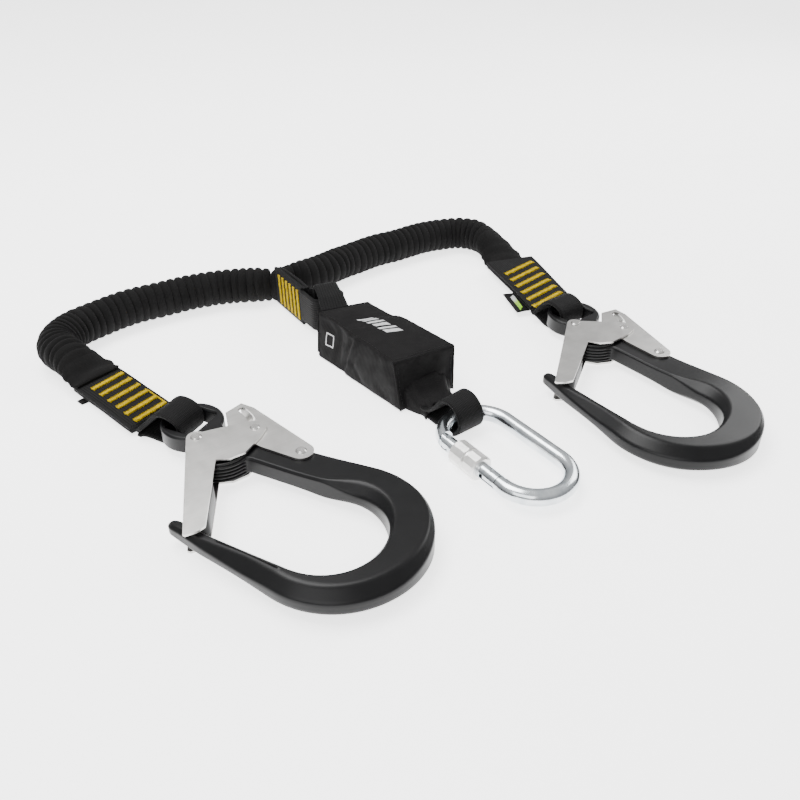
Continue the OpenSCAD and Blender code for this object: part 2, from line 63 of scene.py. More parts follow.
def add_camera():
    """The camera solved from the photo."""
    data = bpy.data.cameras.new("camera")
    data.lens = 36.86
    data.sensor_width = 36
    data.clip_start = 0.01
    cam = bpy.data.objects.new("camera", data)
    bpy.context.collection.objects.link(cam)
    cam.location = (-0.322, -0.415, 0.3468)
    pitch = math.radians(33.95)
    ahead = Vector((0.582, 0.813, 0)).normalized() * math.cos(pitch)
    aim(cam, cam.location + ahead + Vector((0, 0, -math.sin(pitch))))
    bpy.context.scene.camera = cam


def area_light(name, place, target, size, power):
    data = bpy.data.lights.new(name, "AREA")
    data.energy = power
    data.shape = "RECTANGLE"
    data.size, data.size_y = size
    lamp = bpy.data.objects.new(name, data)
    bpy.context.collection.objects.link(lamp)
    lamp.location = place
    aim(lamp, target)


def add_stage():
    """A white floor, three soft lamps, and a world that is brighter overhead."""
    bpy.ops.mesh.primitive_plane_add(size=6, location=(0, 0, 0))
    floor = bpy.context.object
    floor.name = "floor"
    floor.data.materials.append(flat_white())
    area_light("key", (-0.3, 0.5, 1.5), (0, 0.05, 0), (1.3, 0.9), 40)
    area_light("fill", (-1.1, -0.7, 0.9), (0, 0, 0), (1.2, 0.8), 11)
    area_light("side", (1.3, 0.1, 0.8), (0, 0, 0), (0.9, 0.7), 12)
    world = bpy.data.worlds.new("studio")
    world.use_nodes = True
    tree = world.node_tree
    way, split, shade = [tree.nodes.new("ShaderNode" + kind)
                         for kind in ("TexCoord", "SeparateXYZ", "ValToRGB")]
    low, high = shade.color_ramp.elements
    low.position, low.color = 0.05, (0.3, 0.3, 0.31, 1)
    high.position, high.color = 0.75, (1, 1, 1, 1)
    tree.links.new(way.outputs["Generated"], split.inputs[0])
    tree.links.new(split.outputs["Z"], shade.inputs["Fac"])
    tree.links.new(shade.outputs["Color"], tree.nodes["Background"].inputs["Color"])
    tree.nodes["Background"].inputs["Strength"].default_value = 0.95
    bpy.context.scene.world = world


# ------------------------------------------------------------------- materials

class Nodes:
    """A short way to write a material's node tree."""

    def __init__(self, name):
        self.mat = bpy.data.materials.new(name)
        self.mat.use_nodes = True
        self.tree = self.mat.node_tree
        self.bsdf = self.tree.nodes["Principled BSDF"]

    def add(self, kind, **values):
        node = self.tree.nodes.new("ShaderNode" + kind)
        for key, value in values.items():
            if hasattr(node, key):
                setattr(node, key, value)
            else:
                node.inputs[key.replace("_", " ")].default_value = value
        return node

    def link(self, out, socket):
        self.tree.links.new(out, socket)

    def coord(self, kind, scale=(1, 1, 1), turn=(0, 0, 0)):
        tex = self.add("TexCoord")
        place = self.add("Mapping", Scale=scale, Rotation=turn)
        self.link(tex.outputs[kind], place.inputs["Vector"])
        return place.outputs[0]

    def math(self, op, a, b=0.0):
        node = self.add("Math", operation=op)
        for i, v in enumerate((a, b)):
            if isinstance(v, (int, float)):
                node.inputs[i].default_value = v
            else:
                self.link(v, node.inputs[i])
        return node.outputs[0]

    def blend(self, a, b, share):
        """a and b added, with share of b."""
        return self.math("ADD", self.math("MULTIPLY", a, 1 - share), self.math("MULTIPLY", b, share))

    def noise(self, vector, scale, detail=3.0, rough=0.55):
        node = self.add("TexNoise", Scale=scale, Detail=detail, Roughness=rough)
        self.link(vector, node.inputs["Vector"])
        return node.outputs["Fac"]

    def grain(self, scale, detail=3.0):
        """Noise fixed to the object."""
        return self.noise(self.coord("Object"), scale, detail)

    def wave(self, vector, scale, axis="X", distortion=0.0):
        node = self.add("TexWave", bands_direction=axis, Scale=scale, Distortion=distortion)
        self.link(vector, node.inputs["Vector"])
        return node.outputs["Fac"]

    def ramp(self, fac, stops):
        node = self.add("ValToRGB")
        band = node.color_ramp
        while len(band.elements) < len(stops):
            band.elements.new(0.5)
        for item, (at, colour) in zip(band.elements, stops):
            item.position = at
            item.color = (*colour, 1)
        self.link(fac, node.inputs["Fac"])
        return node.outputs["Color"]

    def spread(self, fac, low, high):
        node = self.add("MapRange", To_Min=low, To_Max=high)
        self.link(fac, node.inputs["Value"])
        return node.outputs["Result"]

    def bump(self, height, distance, strength=1.0, under=None):
        node = self.add("Bump", Strength=strength, Distance=distance)
        self.link(height, node.inputs["Height"])
        if under is not None:
            self.link(under, node.inputs["Normal"])
        return node.outputs["Normal"]

    def finish(self, **inputs):
        """Links or sets the shader's inputs and returns the material."""
        for key, value in inputs.items():
            socket = self.bsdf.inputs[key.replace("_", " ")]
            if isinstance(value, bpy.types.NodeSocket):
                self.link(value, socket)
            else:
                socket.default_value = value
        return self.mat


def flat_white():
    """The studio floor: pale, and lit a little from within so that it stays near white."""
    n = Nodes("floor_white")
    shade = n.ramp(n.grain(3.0), [(0.3, (0.86, 0.86, 0.86)), (0.7, (0.9, 0.9, 0.9))])
    return n.finish(Base_Color=shade, Roughness=0.8, Emission_Color=(1, 1, 1, 1), Emission_Strength=2.4)


def anodised():
    """Satin black aluminium, with a painted highlight: lighter on its sharp edges, in patches."""
    n = Nodes("black_alloy")
    fine = n.grain(1900.0, 4.0)
    broad = n.grain(55.0)
    geo = n.add("NewGeometry")
    # painted highlight: sharp edges (high Pointiness) are made lighter, broken up by the broad noise
    edge = n.math("MULTIPLY", n.math("SUBTRACT", geo.outputs["Pointiness"], 0.51), 6.0)
    patches = n.math("MAXIMUM", n.math("MULTIPLY", edge, n.spread(broad, 0.3, 1.0)), 0.0)
    mixed = n.math("ADD", n.math("MULTIPLY", broad, 0.5), patches)
    return n.finish(
        # the top stop is the colour of the painted edge highlight
        Base_Color=n.ramp(mixed, [(0.1, (0.0022, 0.0022, 0.0024)), (0.45, (0.004, 0.004, 0.0044)),
                                  (1.0, (0.035, 0.035, 0.037))]),
        Roughness=n.spread(broad, 0.3, 0.38),
        Normal=n.bump(fine, 0.00003, 0.12),
        Specular_IOR_Level=0.2,
    )


def stainless(name, along=(14, 900, 900), tint=(0.62, 0.61, 0.59), rough=(0.26, 0.4), turn=0.0):
    """Stamped steel: long fine brush marks, faint stains and finger marks."""
    n = Nodes(name)
    grain = n.noise(n.coord("Object", along, (0, 0, turn)), 1.0, 5.0, 0.7)
    stain = n.grain(90.0, 4.0)
    shade = n.blend(grain, stain, 0.65)
    dark = tuple(c * 0.78 for c in tint)
    return n.finish(
        Base_Color=n.ramp(shade, [(0.3, dark), (0.7, tint)]),
        Roughness=n.spread(shade, *rough),
        Normal=n.bump(grain, 0.00004, 0.25),
        Metallic=1.0,
    )


def zinc():
    """Bright zinc plate, a little blue, with soft ripples."""
    n = Nodes("zinc_steel")
    ripple = n.grain(130.0, 2.0)
    return n.finish(
        Base_Color=n.ramp(ripple, [(0.3, (0.5, 0.54, 0.57)), (0.7, (0.68, 0.71, 0.73))]),
        Roughness=n.spread(n.grain(1500.0), 0.13, 0.24),
        Normal=n.bump(ripple, 0.0003, 0.22),
        Metallic=1.0,
    )


def sleeve_alloy():
    """Pale turned alloy, with the fine rings that turning leaves."""
    n = Nodes("sleeve_alloy")
    turned = n.wave(n.coord("Object"), 260.0, "Y", distortion=0.6)
    return n.finish(
        Base_Color=n.ramp(n.grain(120.0), [(0.3, (0.62, 0.61, 0.59)), (0.7, (0.8, 0.79, 0.77))]),
        Roughness=n.spread(turned, 0.3, 0.42),
        Normal=n.bump(turned, 0.00004, 0.4),
        Metallic=0.85,
    )


def webbing(name, dark=(0.0022, 0.0022, 0.0024), light=(0.0105, 0.0102, 0.0102), ribs=0.1516):
    """Woven webbing. The UV map is in millimetres, U across the strap and V along it."""
    n = Nodes(name)
    at = n.coord("UV")
    across = n.wave(at, ribs, "X")
    along = n.wave(at, 0.19, "Y", distortion=0.25)
    twill = n.wave(n.coord("UV", turn=(0, 0, 0.7)), 0.26, "X")
    loft = n.blend(across, n.math("MULTIPLY", along, twill), 0.45)
    fuzz = n.grain(2600.0, 4.0)
    patches = n.grain(60.0)
    shade = n.blend(loft, patches, 0.4)
    return n.finish(
        Base_Color=n.ramp(shade, [(0.2, dark), (0.85, light)]),
        Roughness=n.spread(fuzz, 0.62, 0.85),
        Normal=n.bump(fuzz, 0.00025, 0.35, n.bump(loft, 0.00055, 0.8)),
        Sheen_Weight=0.02, Sheen_Roughness=0.45, Specular_IOR_Level=0.12,
    )


def leg_fabric():
    """Tight matt knit over the pleats; the UV map is in millimetres."""
    n = Nodes("leg_fabric")
    a = n.wave(n.coord("UV"), 0.42, "X")
    b = n.wave(n.coord("UV"), 0.36, "Y")
    knit = n.math("MULTIPLY", a, b)
    fuzz = n.grain(1800.0, 5.0)
    broad = n.grain(48.0)
    shade = n.blend(knit, broad, 0.7)
    return n.finish(
        Base_Color=n.ramp(shade, [(0.25, (0.0024, 0.0023, 0.0023)), (0.8, (0.0075, 0.0072, 0.0072))]),
        Roughness=n.spread(fuzz, 0.7, 0.92),
        Normal=n.bump(fuzz, 0.0003, 0.3, n.bump(knit, 0.0003, 0.5)),
        Sheen_Weight=0.02, Sheen_Roughness=0.5, Specular_IOR_Level=0.1,
    )


def pack_nylon():
    """Coated plain-weave nylon."""
    n = Nodes("pack_nylon")
    a = n.wave(n.coord("Object", turn=(0, 0, 0.1)), 290.0, "X", distortion=0.4)
    b = n.wave(n.coord("Object", turn=(0, 0, 0.1)), 290.0, "Y", distortion=0.4)
    c = n.wave(n.coord("Object"), 290.0, "Z", distortion=0.4)
    weave = n.math("MULTIPLY", n.math("ADD", a, b), n.spread(c, 0.4, 0.6))
    fuzz = n.grain(1500.0, 4.0)
    broad = n.grain(40.0, 4.0)
    shade = n.blend(weave, broad, 0.75)
    return n.finish(
        Base_Color=n.ramp(shade, [(0.25, (0.004, 0.0038, 0.0039)), (0.8, (0.009, 0.0086, 0.0088))]),
        Roughness=n.spread(fuzz, 0.62, 0.8),
        Normal=n.bump(weave, 0.00022, 0.6, n.bump(broad, 0.0012, 0.08)),
        Sheen_Weight=0.0, Specular_IOR_Level=0.09,
    )


def thread(name, low, high):
    """Sewing thread, its strands just showing."""
    n = Nodes(name)
    broad = n.grain(300.0)
    return n.finish(
        Base_Color=n.ramp(broad, [(0.3, low), (0.7, high)]),
        Roughness=n.spread(broad, 0.5, 0.7),
        Normal=n.bump(n.wave(n.coord("Object"), 1500.0, "X", distortion=1.5), 0.0001, 0.5),
        Specular_IOR_Level=0.12,
    )


def moulded(name, low, high, rough):
    """Moulded rubber or plastic."""
    n = Nodes(name)
    fine = n.grain(900.0, 4.0)
    return n.finish(
        Base_Color=n.ramp(n.grain(120.0), [(0.3, low), (0.7, high)]),
        Roughness=n.spread(fine, *rough),
        Normal=n.bump(fine, 0.0001, 0.3),
        Specular_IOR_Level=0.25,
    )


def label_print():
    """A stripe that runs from pale silver to green; the UV map's V goes from 0 to 1."""
    n = Nodes("label_print")
    split = n.add("SeparateXYZ")
    n.link(n.coord("UV"), split.inputs[0])
    fine = n.grain(1200.0)
    run = n.math("ADD", split.outputs["Y"], n.math("MULTIPLY", n.math("SUBTRACT", fine, 0.5), 0.12))
    return n.finish(
        Base_Color=n.ramp(run, [(0.25, (0.5, 0.51, 0.5)), (0.5, (0.3, 0.5, 0.05)),
                                (0.8, (0.22, 0.5, 0.01))]),
        Roughness=n.spread(fine, 0.4, 0.6),
    )


def print_silver():
    """Silver screen print."""
    n = Nodes("pack_print")
    fine = n.grain(1100.0, 4.0)
    return n.finish(
        Base_Color=n.ramp(fine, [(0.35, (0.34, 0.34, 0.35)), (0.65, (0.58, 0.58, 0.58))]),
        Roughness=n.spread(fine, 0.4, 0.62),
        Normal=n.bump(fine, 0.0001, 0.5),
    )


# ------------------------------------------------------------------- mesh work

def V(*p):
    return np.array(p, float)


def unit(v):
    return v / max(np.linalg.norm(v), 1e-9)


def lengths(line):
    """The distance along a line at each of its points."""
    return np.concatenate([[0], np.cumsum(np.linalg.norm(np.diff(line, axis=0), axis=1))])


def ahead_at(line, i, reach=1):
    """The direction of a line at its point i, over reach points to each side."""
    return unit(line[min(i + reach, len(line) - 1)] - line[max(i - reach, 0)])


def resample(points, step, closed=False):
    """Evenly spaced points, about step apart, along a line of points."""
    p = np.array(points, float)
    if closed:
        p = np.vstack([p, p[:1]])
    at = lengths(p)
    count = max(int(round(at[-1] / step)), 2)
    want = np.linspace(0, at[-1], count + 1)
    if closed:
        want = want[:-1]
    return np.column_stack([np.interp(want, at, p[:, k]) for k in range(p.shape[1])])


def soften(points, rounds, closed=False):
    """Smooths a line by averaging neighbours; an open line keeps its ends."""
    p = np.array(points, float)
    for _ in range(rounds):
        q = p.copy()
        q[1:-1] = 0.25 * p[:-2] + 0.5 * p[1:-1] + 0.25 * p[2:]
        if closed:
            q[0] = 0.25 * p[-1] + 0.5 * p[0] + 0.25 * p[1]
            q[-1] = 0.25 * p[-2] + 0.5 * p[-1] + 0.25 * p[0]
        p = q
    return p


def catmull(route, per=8):
    """The same smooth line as the part's own legs follow."""
    p = np.array(route, float)
    out = []
    for i in range(len(p) - 1):
        a, b, c, d = p[max(i - 1, 0)], p[i], p[i + 1], p[min(i + 2, len(p) - 1)]
        for k in range(per):
            t = k / per
            out.append(0.5 * (2 * b + (c - a) * t + (2 * a - 5 * b + 4 * c - d) * t * t
                              + (3 * b - a - 3 * c + d) * t ** 3))
    return np.array(out + [p[-1]])


def smoothstep(lo, hi, x):
    t = np.clip((np.asarray(x, float) - lo) / (hi - lo), 0, 1)
    return t * t * (3 - 2 * t)


def piece(name, verts, faces, mat, body, hides=(), uvs=None, sharp=None):
    """A mesh piece from millimetres. uvs gives a pair for every corner of every face."""
    mesh = bpy.data.meshes.new(name)
    mesh.from_pydata([tuple(float(c) * MM for c in v) for v in verts], [], faces)
    if uvs is not None:
        layer = mesh.uv_layers.new(name="UVMap")
        layer.data.foreach_set("uv", [c for face in uvs for corner in face for c in corner])
    bm = bmesh.new()
    bm.from_mesh(mesh)
    bmesh.ops.recalc_face_normals(bm, faces=bm.faces)
    bm.to_mesh(mesh)
    bm.free()
    for poly in mesh.polygons:
        poly.use_smooth = True
    if sharp is not None:
        mesh.set_sharp_from_angle(angle=math.radians(sharp))
    obj = bpy.data.objects.new(name, mesh)
    bpy.context.collection.objects.link(obj)
    mesh.materials.append(mat)
    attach(obj, body)
    if hides:
        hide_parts(*hides)
    return obj


def skin(rings):
    """Vertices, faces and corner UVs, in millimetres, of a closed skin over rings of points."""
    rings = np.array(rings, float)
    n, m = rings.shape[:2]
    v_at = lengths(rings.mean(axis=1))
    whole = np.concatenate([rings, rings[:, :1]], axis=1)
    u_at = np.cumsum([0, *np.linalg.norm(np.diff(whole, axis=1), axis=2).mean(axis=0)])
    faces, uvs = [], []
    for i in range(n - 1):
        for j in range(m):
            k = (j + 1) % m
            faces.append((i * m + j, i * m + k, (i + 1) * m + k, (i + 1) * m + j))
            uvs.append(((u_at[j], v_at[i]), (u_at[j + 1], v_at[i]),
                        (u_at[j + 1], v_at[i + 1]), (u_at[j], v_at[i + 1])))
    for i in (0, n - 1):
        order = range(m) if i else range(m)[::-1]
        faces.append(tuple(i * m + j for j in order))
        uvs.append(tuple((u_at[j], v_at[i]) for j in order))
    return rings.reshape(-1, 3), faces, uvs


def strap_section(width, thick, crown):
    """The cross-section of webbing: flat faces and rounded selvedges."""
    count = 12
    r = thick * 0.46
    half = width / 2 - r
    bow = np.linspace(0.4, math.pi - 0.4, 5)
    top = [(x, thick / 2 + crown * (1 - (x / half) ** 2)) for x in np.linspace(-half, half, count)]
    right = [(half + r * math.sin(a), thick / 2 * math.cos(a)) for a in bow]
    low = [(-x, -thick / 2) for x, _ in top]
    left = [(-x, -y) for x, y in right]
    return top + right + low + left


def sweep(line, across, width, thick, crown):
    """Rings of a strap along a line; across and width may change along it."""
    line = np.array(line, float)
    n = len(line)
    across = np.broadcast_to(np.array(across, float), (n, 3))
    width = np.broadcast_to(width, (n,))
    rings = []
    for i in range(n):
        t = ahead_at(line, i)
        a = unit(across[i] - t * np.dot(across[i], t))
        up = np.cross(t, a)
        rings.append([line[i] + a * x + up * y for x, y in strap_section(width[i], thick, crown)])
    return rings


def round_tube(line, radius, sides):
    """Rings of a cord along a line, with no twist between them."""
    line = np.array(line, float)
    start = unit(line[1] - line[0])
    side = unit(np.cross(start, V(*UP) if abs(start[2]) < 0.9 else V(1, 0, 0)))
    rings = []
    for i in range(len(line)):
        t = ahead_at(line, i)
        side = unit(side - t * np.dot(side, t))
        up = np.cross(t, side)
        rings.append([line[i] + radius * (math.cos(a) * side + math.sin(a) * up)
                      for a in np.linspace(0, 2 * math.pi, sides, endpoint=False)])
    return rings


class Parts:
    """Gathers several skins into one piece."""

    def __init__(self):
        self.verts, self.faces, self.uvs = [], [], []

    def add(self, verts, faces, uvs):
        at = len(self.verts)
        self.verts += [tuple(v) for v in verts]
        self.faces += [tuple(i + at for i in f) for f in faces]
        self.uvs += list(uvs)
        return self

    def piece(self, name, mat, body, slot, hides=(), sharp=None):
        return piece(name, self.verts, self.faces, mat, body, hides, self.uvs, sharp)


def web(name, line, across, width, mat, hides=(), crown=0.0):
    """One strap of webbing as a piece of its own."""
    rings = sweep(line, across, width, WEB_T, crown)
    Parts().add(*skin(rings)).piece(name, mat, "lanyard", "black_webbing", hides, sharp=50)


# ----------------------------------------------------------------------- hooks

# Each hook's place and turn in degrees; the rest is in a hook's own frame, u along its spine.
LEFT = (V(-177.1, 20.8), -61.4)
RIGHT = (V(143, -14.4), -87.6)
EYE_C, EYE_R = V(-18.5, 19), 22.0
HUB_C, HUB_R = V(17, 2), 22.0
BEND_C, BEND_R = V(126, -32), 57.0
THROAT_C, THROAT_R = V(121, -37), 37.0
NOSE_C = V(35, -68.5)
HOLE = (V(-32.5, 4.5), V(-8, 33.5), 3.0)    # the eye's corners and their radius

# The chamfer by stretch of outline: its inset and how far down the side it starts, as
# (least, growth) of each, and the range it grows over: u, or the angle round a centre.
CHAMFERS = {
    "spine_in": ((1.6, 6.2), (1.6, 4.6), (94, 123), None),
    "throat": ((1.9, 5.9), (1.9, 4.3), (12, 82), THROAT_C),
    "bend_out": ((1.6, 6.4), (1.8, 4.6), (60, -35), BEND_C),
    "arm_out": ((2.2, 5.8), (2.2, 4.2), (36, 100), None),
    "arm_in": ((1.4, 1.0), (1.6, 0.8), (40, 110), None),
    "nose": ((1.9, 0), (1.9, 0), (0, 1), None),
}


def to_row(hook, u, v, z):
    """A place in a hook's frame, in the whole part's frame."""
    at, turn = hook
    c, s = math.cos(math.radians(turn)), math.sin(math.radians(turn))
    return V(at[0] + c * u - s * v, at[1] + s * u + c * v, HOOK_MID + z)


def arc(c, r, a, b, count):
    """Points on a circle, from angle a to b in degrees."""
    return [c + r * V(math.cos(t), math.sin(t)) for t in np.radians(np.linspace(a, b, count))]


def hook_outline():
    """The hook seen from above, and how far round it each point is, by name of stretch."""
    stretches = [
        ("spine_out", [V(8, 22), V(40, 22), V(44, 22), V(60, 25), V(126, 25)]),
        ("bend_out", arc(BEND_C, BEND_R, 88, -98, 90)),
        ("arm_out", [V(116, -88.1), V(60, -78), V(38, -73)]),
        ("nose", arc(NOSE_C, 4, -100, -270, 14)),
        ("arm_in", [V(36, -64.6), V(60, -69), V(116, -73.6)]),
        ("throat", arc(THROAT_C, THROAT_R, -93, 88, 80)),
        ("spine_in", [V(121, 0), V(40.5, 0)]),
        ("hub", arc(HUB_C, HUB_R, -6, -168, 40)),
        ("eye", arc(EYE_C, EYE_R, -56, -346, 90)),
    ]
    points, names = [], []
    for name, line in stretches:
        points += line
        names += [name] * len(line)
    p = np.array(points)
    at = lengths(np.vstack([p, p[:1]]))
    fine = resample(p, 1.6, closed=True)
    want = np.linspace(0, at[-1], len(fine) + 1)[:-1]
    tag = [names[min(np.searchsorted(at, w, side="right") - 1, len(names) - 1)] for w in want]
    return soften(fine, 3, closed=True), tag


def hook_height(u, v):
    """Half the forging's thickness: more towards the bend, and from the nose along the arm."""
    spine = 6.5 + 3.5 * smoothstep(72, 138, u)
    arm = 4.5 + 5.5 * np.clip((np.asarray(u) - 34) / 80, 0, 1) ** 0.9
    return np.where(np.asarray(v) > -37, spine, arm)


def chamfers(u, v, tag):
    """Inset of the chamfer and how far down the side it starts, at a point of the outline."""
    inset, drop, grows, centre = CHAMFERS.get(tag, ((1.3, 0), (1.3, 0), (0, 1), None))
    x = u if centre is None else math.degrees(math.atan2(v - centre[1], u - centre[0]))
    k = float(smoothstep(*grows, x))
    return inset[0] + inset[1] * k, drop[0] + drop[1] * k


def inward(p):
    """Unit normals that point into a closed outline."""
    ahead = np.roll(p, -2, axis=0) - np.roll(p, 2, axis=0)
    area = 0.5 * np.sum(p[:, 0] * np.roll(p[:, 1], -1) - np.roll(p[:, 0], -1) * p[:, 1])
    n = np.column_stack([-ahead[:, 1], ahead[:, 0]]) * (1 if area > 0 else -1)
    return n / np.linalg.norm(n, axis=1)[:, None]


def inside(poly, pts):
    """Which points lie in a polygon."""
    x, y = pts[:, 0][:, None], pts[:, 1][:, None]
    a, b = poly, np.roll(poly, -1, axis=0)
    cross = ((a[:, 1] > y) != (b[:, 1] > y)) & (
        x < (b[:, 0] - a[:, 0]) * (y - a[:, 1]) / (b[:, 1] - a[:, 1] + 1e-12) + a[:, 0])
    return cross.sum(axis=1) % 2 == 1


def fill_face(outer, holes, spacing):
    """Triangles between an outline and its holes, with even points within."""
    loops = [outer] + holes
    pts, edges = [], []
    for loop in loops:
        at = len(pts)
        pts += [tuple(p) for p in loop]
        edges += [(at + i, at + (i + 1) % len(loop)) for i in range(len(loop))]
    rim = len(pts)
    lo, hi = outer.min(axis=0), outer.max(axis=0)
    gx, gy = np.meshgrid(np.arange(lo[0], hi[0], spacing), np.arange(lo[1], hi[1], spacing))
    g = np.column_stack([gx.ravel(), gy.ravel()])
    keep = inside(outer, g)
    for hole in holes:
        keep &= ~inside(hole, g)
    border = np.array(pts)
    near = np.array([np.min(np.linalg.norm(border - q, axis=1)) for q in g]) > spacing * 0.6
    g = g[keep & near]
    pts += [tuple(q) for q in g]
    out = geometry.delaunay_2d_cdt([Vector(q) for q in pts], edges, [], 0, 1e-5)
    verts, tris = np.array([tuple(v) for v in out[0]]), [tuple(f) for f in out[2]]
    mid = np.array([verts[list(t)].mean(axis=0) for t in tris])
    good = inside(outer, mid)
    for hole in holes:
        good &= ~inside(hole, mid)
    origin = [o[0] if o else -1 for o in out[3]]
    return verts, [t for t, ok in zip(tris, good) if ok], origin, rim


def rim_profile(d, drop, side, soft=1.6):
    """Inset and depth below the face of points up a chamfered edge, from the side to the face.
    side is the height of the face over the middle plane."""
    a, b = V(0, drop), V(d, 0)
    slope = unit(b - a)
    s = max(min(soft, d * 0.3, drop * 0.3, (side - drop) * 0.5), 0.12)
    return [a + V(0, s * 1.6), a + V(0, s * 0.5), a + slope * s * 0.35, a + slope * s * 1.4,
            b - slope * s * 1.4, b - slope * s * 0.35, b + V(s * 0.5, 0), b + V(s * 1.6, 0)]


def hook_body(name, hook, mat):
    """The forging's skin: a chamfered rim round the outline and the eye, and the faces between."""
    outline, tags = hook_outline()
    normal = inward(outline)
    lo, hi, r = HOLE
    corners = [(V(hi[0] - r, hi[1] - r), 0), (V(lo[0] + r, hi[1] - r), 90),
               (V(lo[0] + r, lo[1] + r), 180), (V(hi[0] - r, lo[1] + r), 270)]
    hole = resample([q for c, a in corners for q in arc(c, r, a, a + 90, 8)], 1.5, closed=True)
    hole_normal = -inward(hole)
    verts, faces, face_loops = [], [], []
    for loop, norms, loop_tags in ((outline, normal, tags), (hole, hole_normal, ["hole"] * len(hole))):
        m = len(loop)
        cuts = np.array([chamfers(p[0], p[1], t) for p, t in zip(loop, loop_tags)])
        for _ in range(4):
            cuts = 0.25 * np.roll(cuts, 1, axis=0) + 0.5 * cuts + 0.25 * np.roll(cuts, -1, axis=0)
        top = hook_height(loop[:, 0], loop[:, 1])
        profile = np.array([rim_profile(d, drop, h) for (d, drop), h in zip(cuts, top)])
        base = len(verts)
        rows = []
        for k in range(profile.shape[1]):
            rim = loop + norms * profile[:, k, :1]
            rows.append(np.column_stack([rim, top - profile[:, k, 1]]))
        rows = [row * V(1, 1, -1) for row in rows[::-1]] + rows
        verts += [p for row in rows for p in row]
        for i in range(len(rows) - 1):
            for j in range(m):
                a, b = base + i * m + j, base + i * m + (j + 1) % m
                faces.append((a, b, b + m, a + m))
        face_loops.append((base, m, len(rows)))
    for side in (0, 1):
        loops, index = [], []
        for base, m, count in face_loops:
            row = base + (count - 1) * m if side else base
            loops.append(np.array([verts[row + j][:2] for j in range(m)]))
            index += [row + j for j in range(m)]
        flat, tris, origin, rim = fill_face(loops[0], loops[1:], 5.0)
        place = {}
        for i, (p, o) in enumerate(zip(flat, origin)):
            if 0 <= o < rim:
                place[i] = index[o]
            else:
                h = float(hook_height(p[0], p[1]))
                place[i] = len(verts)
                verts.append(V(p[0], p[1], h if side else -h))
        faces += [tuple(place[i] for i in t) for t in tris]
    piece(name + "_hook_shell", [to_row(hook, *p) for p in verts], faces, mat, name + "_hook",
          (name + "_hook_body",))


def hub_rings(name, hook, mat):
    """The stacked black rings that show beside the gate's ears."""
    parts = Parts()
    for z in (-5.2, -2.6, 0.0, 2.6, 5.2, 7.3):
        r = HUB_R + (0.15 if abs(z) < 7 else -0.9)
        line = [to_row(hook, HUB_C[0] + r * math.cos(a), HUB_C[1] + r * math.sin(a), z)
                for a in np.radians(np.linspace(2, -118, 40))]
        parts.add(*skin(round_tube(line, 0.85, 10)))
    parts.piece(name + "_hub_rings", mat, name + "_hook", "elastic")


def gate_insert(name, hook, mat):
    """The moulded filler in the gate's channel, between the hub and the nose."""
    plan = [V(24, -31), V(36.5, -30.5), V(53, -58), V(49, -62.5), V(44.5, -61.5)]
    outline = soften(resample(plan, 1.5, closed=True), 3, closed=True)
    centre = outline.mean(axis=0)
    rings = []
    for z, k in ((-8.3, 0.93), (-7.6, 1), (7.6, 1), (8.3, 0.93)):
        rings.append([to_row(hook, *(centre + (p - centre) * k), z) for p in outline])
    Parts().add(*skin(rings)).piece(name + "_gate_insert", mat, name + "_gate_body", "elastic", sharp=40)


def eye_webbing(name, hook, low, end, end_width, mat):
    """The webbing that goes down round the eye's bar and back."""
    loop_r, bar = 9.6, V(-36.5, 19)
    under = V(end, low + WEB_T / 2 - HOOK_MID)
    over = V(end, low + 1.5 * WEB_T + 0.1 - HOOK_MID)

    def tangent(p, sign):
        d = p - V(bar[0], 0)
        a = math.degrees(math.atan2(d[1], d[0]))
        return a + sign * math.degrees(math.acos(loop_r / np.linalg.norm(d)))
    a0, a1 = tangent(under, 1), tangent(over, -1)
    a1 = a1 + 360 if a1 < 0 else a1
    a0 = a0 - 360 if a0 > 0 else a0
    line = [under] + arc(V(bar[0], 0), loop_r, a0, a1, 46) + [over]
    stretch, rise = 7.0, 3.6    # how far the loop is drawn along, and its upper side lifted
    drawn = smoothstep(bar[0] - 2, bar[0] + 9, [u for u, _ in line])
    lifted = smoothstep(bar[0] - 12, bar[0] + 2, [u for u, _ in line])
    line = [V(u + stretch * d, z + (rise * k if z > 0 else 0))
            for (u, z), d, k in zip(line, drawn, lifted)]
    line = soften(resample(line, 1.2), 16)
    away = smoothstep(-41, -53, line[:, 0])
    eye_width = 27.4
    width = eye_width + (end_width - eye_width) * away
    points = [to_row(hook, p[0], bar[1] + 2.4 * a, p[1]) for p, a in zip(line, away)]
    across = to_row(hook, 0, 1, 0) - to_row(hook, 0, 0, 0)
    web(name + "_eye_webbing", points, across, width, mat, (name + "_eye_loop",), crown=0.15)


# ------------------------------------------------------------ legs and straps

LEFT_ROUTE = [(-22, 206), (-57, 226), (-80, 232), (-105, 235.5), (-137, 237.5), (-168, 234),
              (-194, 226), (-211, 213), (-215, 197), (-210, 179), (-204.5, 164), (-200.9, 152.5)]
RIGHT_ROUTE = [(-2, 205), (20, 203.5), (39, 205.5), (58, 209.5), (95, 213), (121, 212.5), (145, 212.5),
               (169, 210), (189, 203), (201, 190), (207, 170), (206.5, 150), (201, 128)]


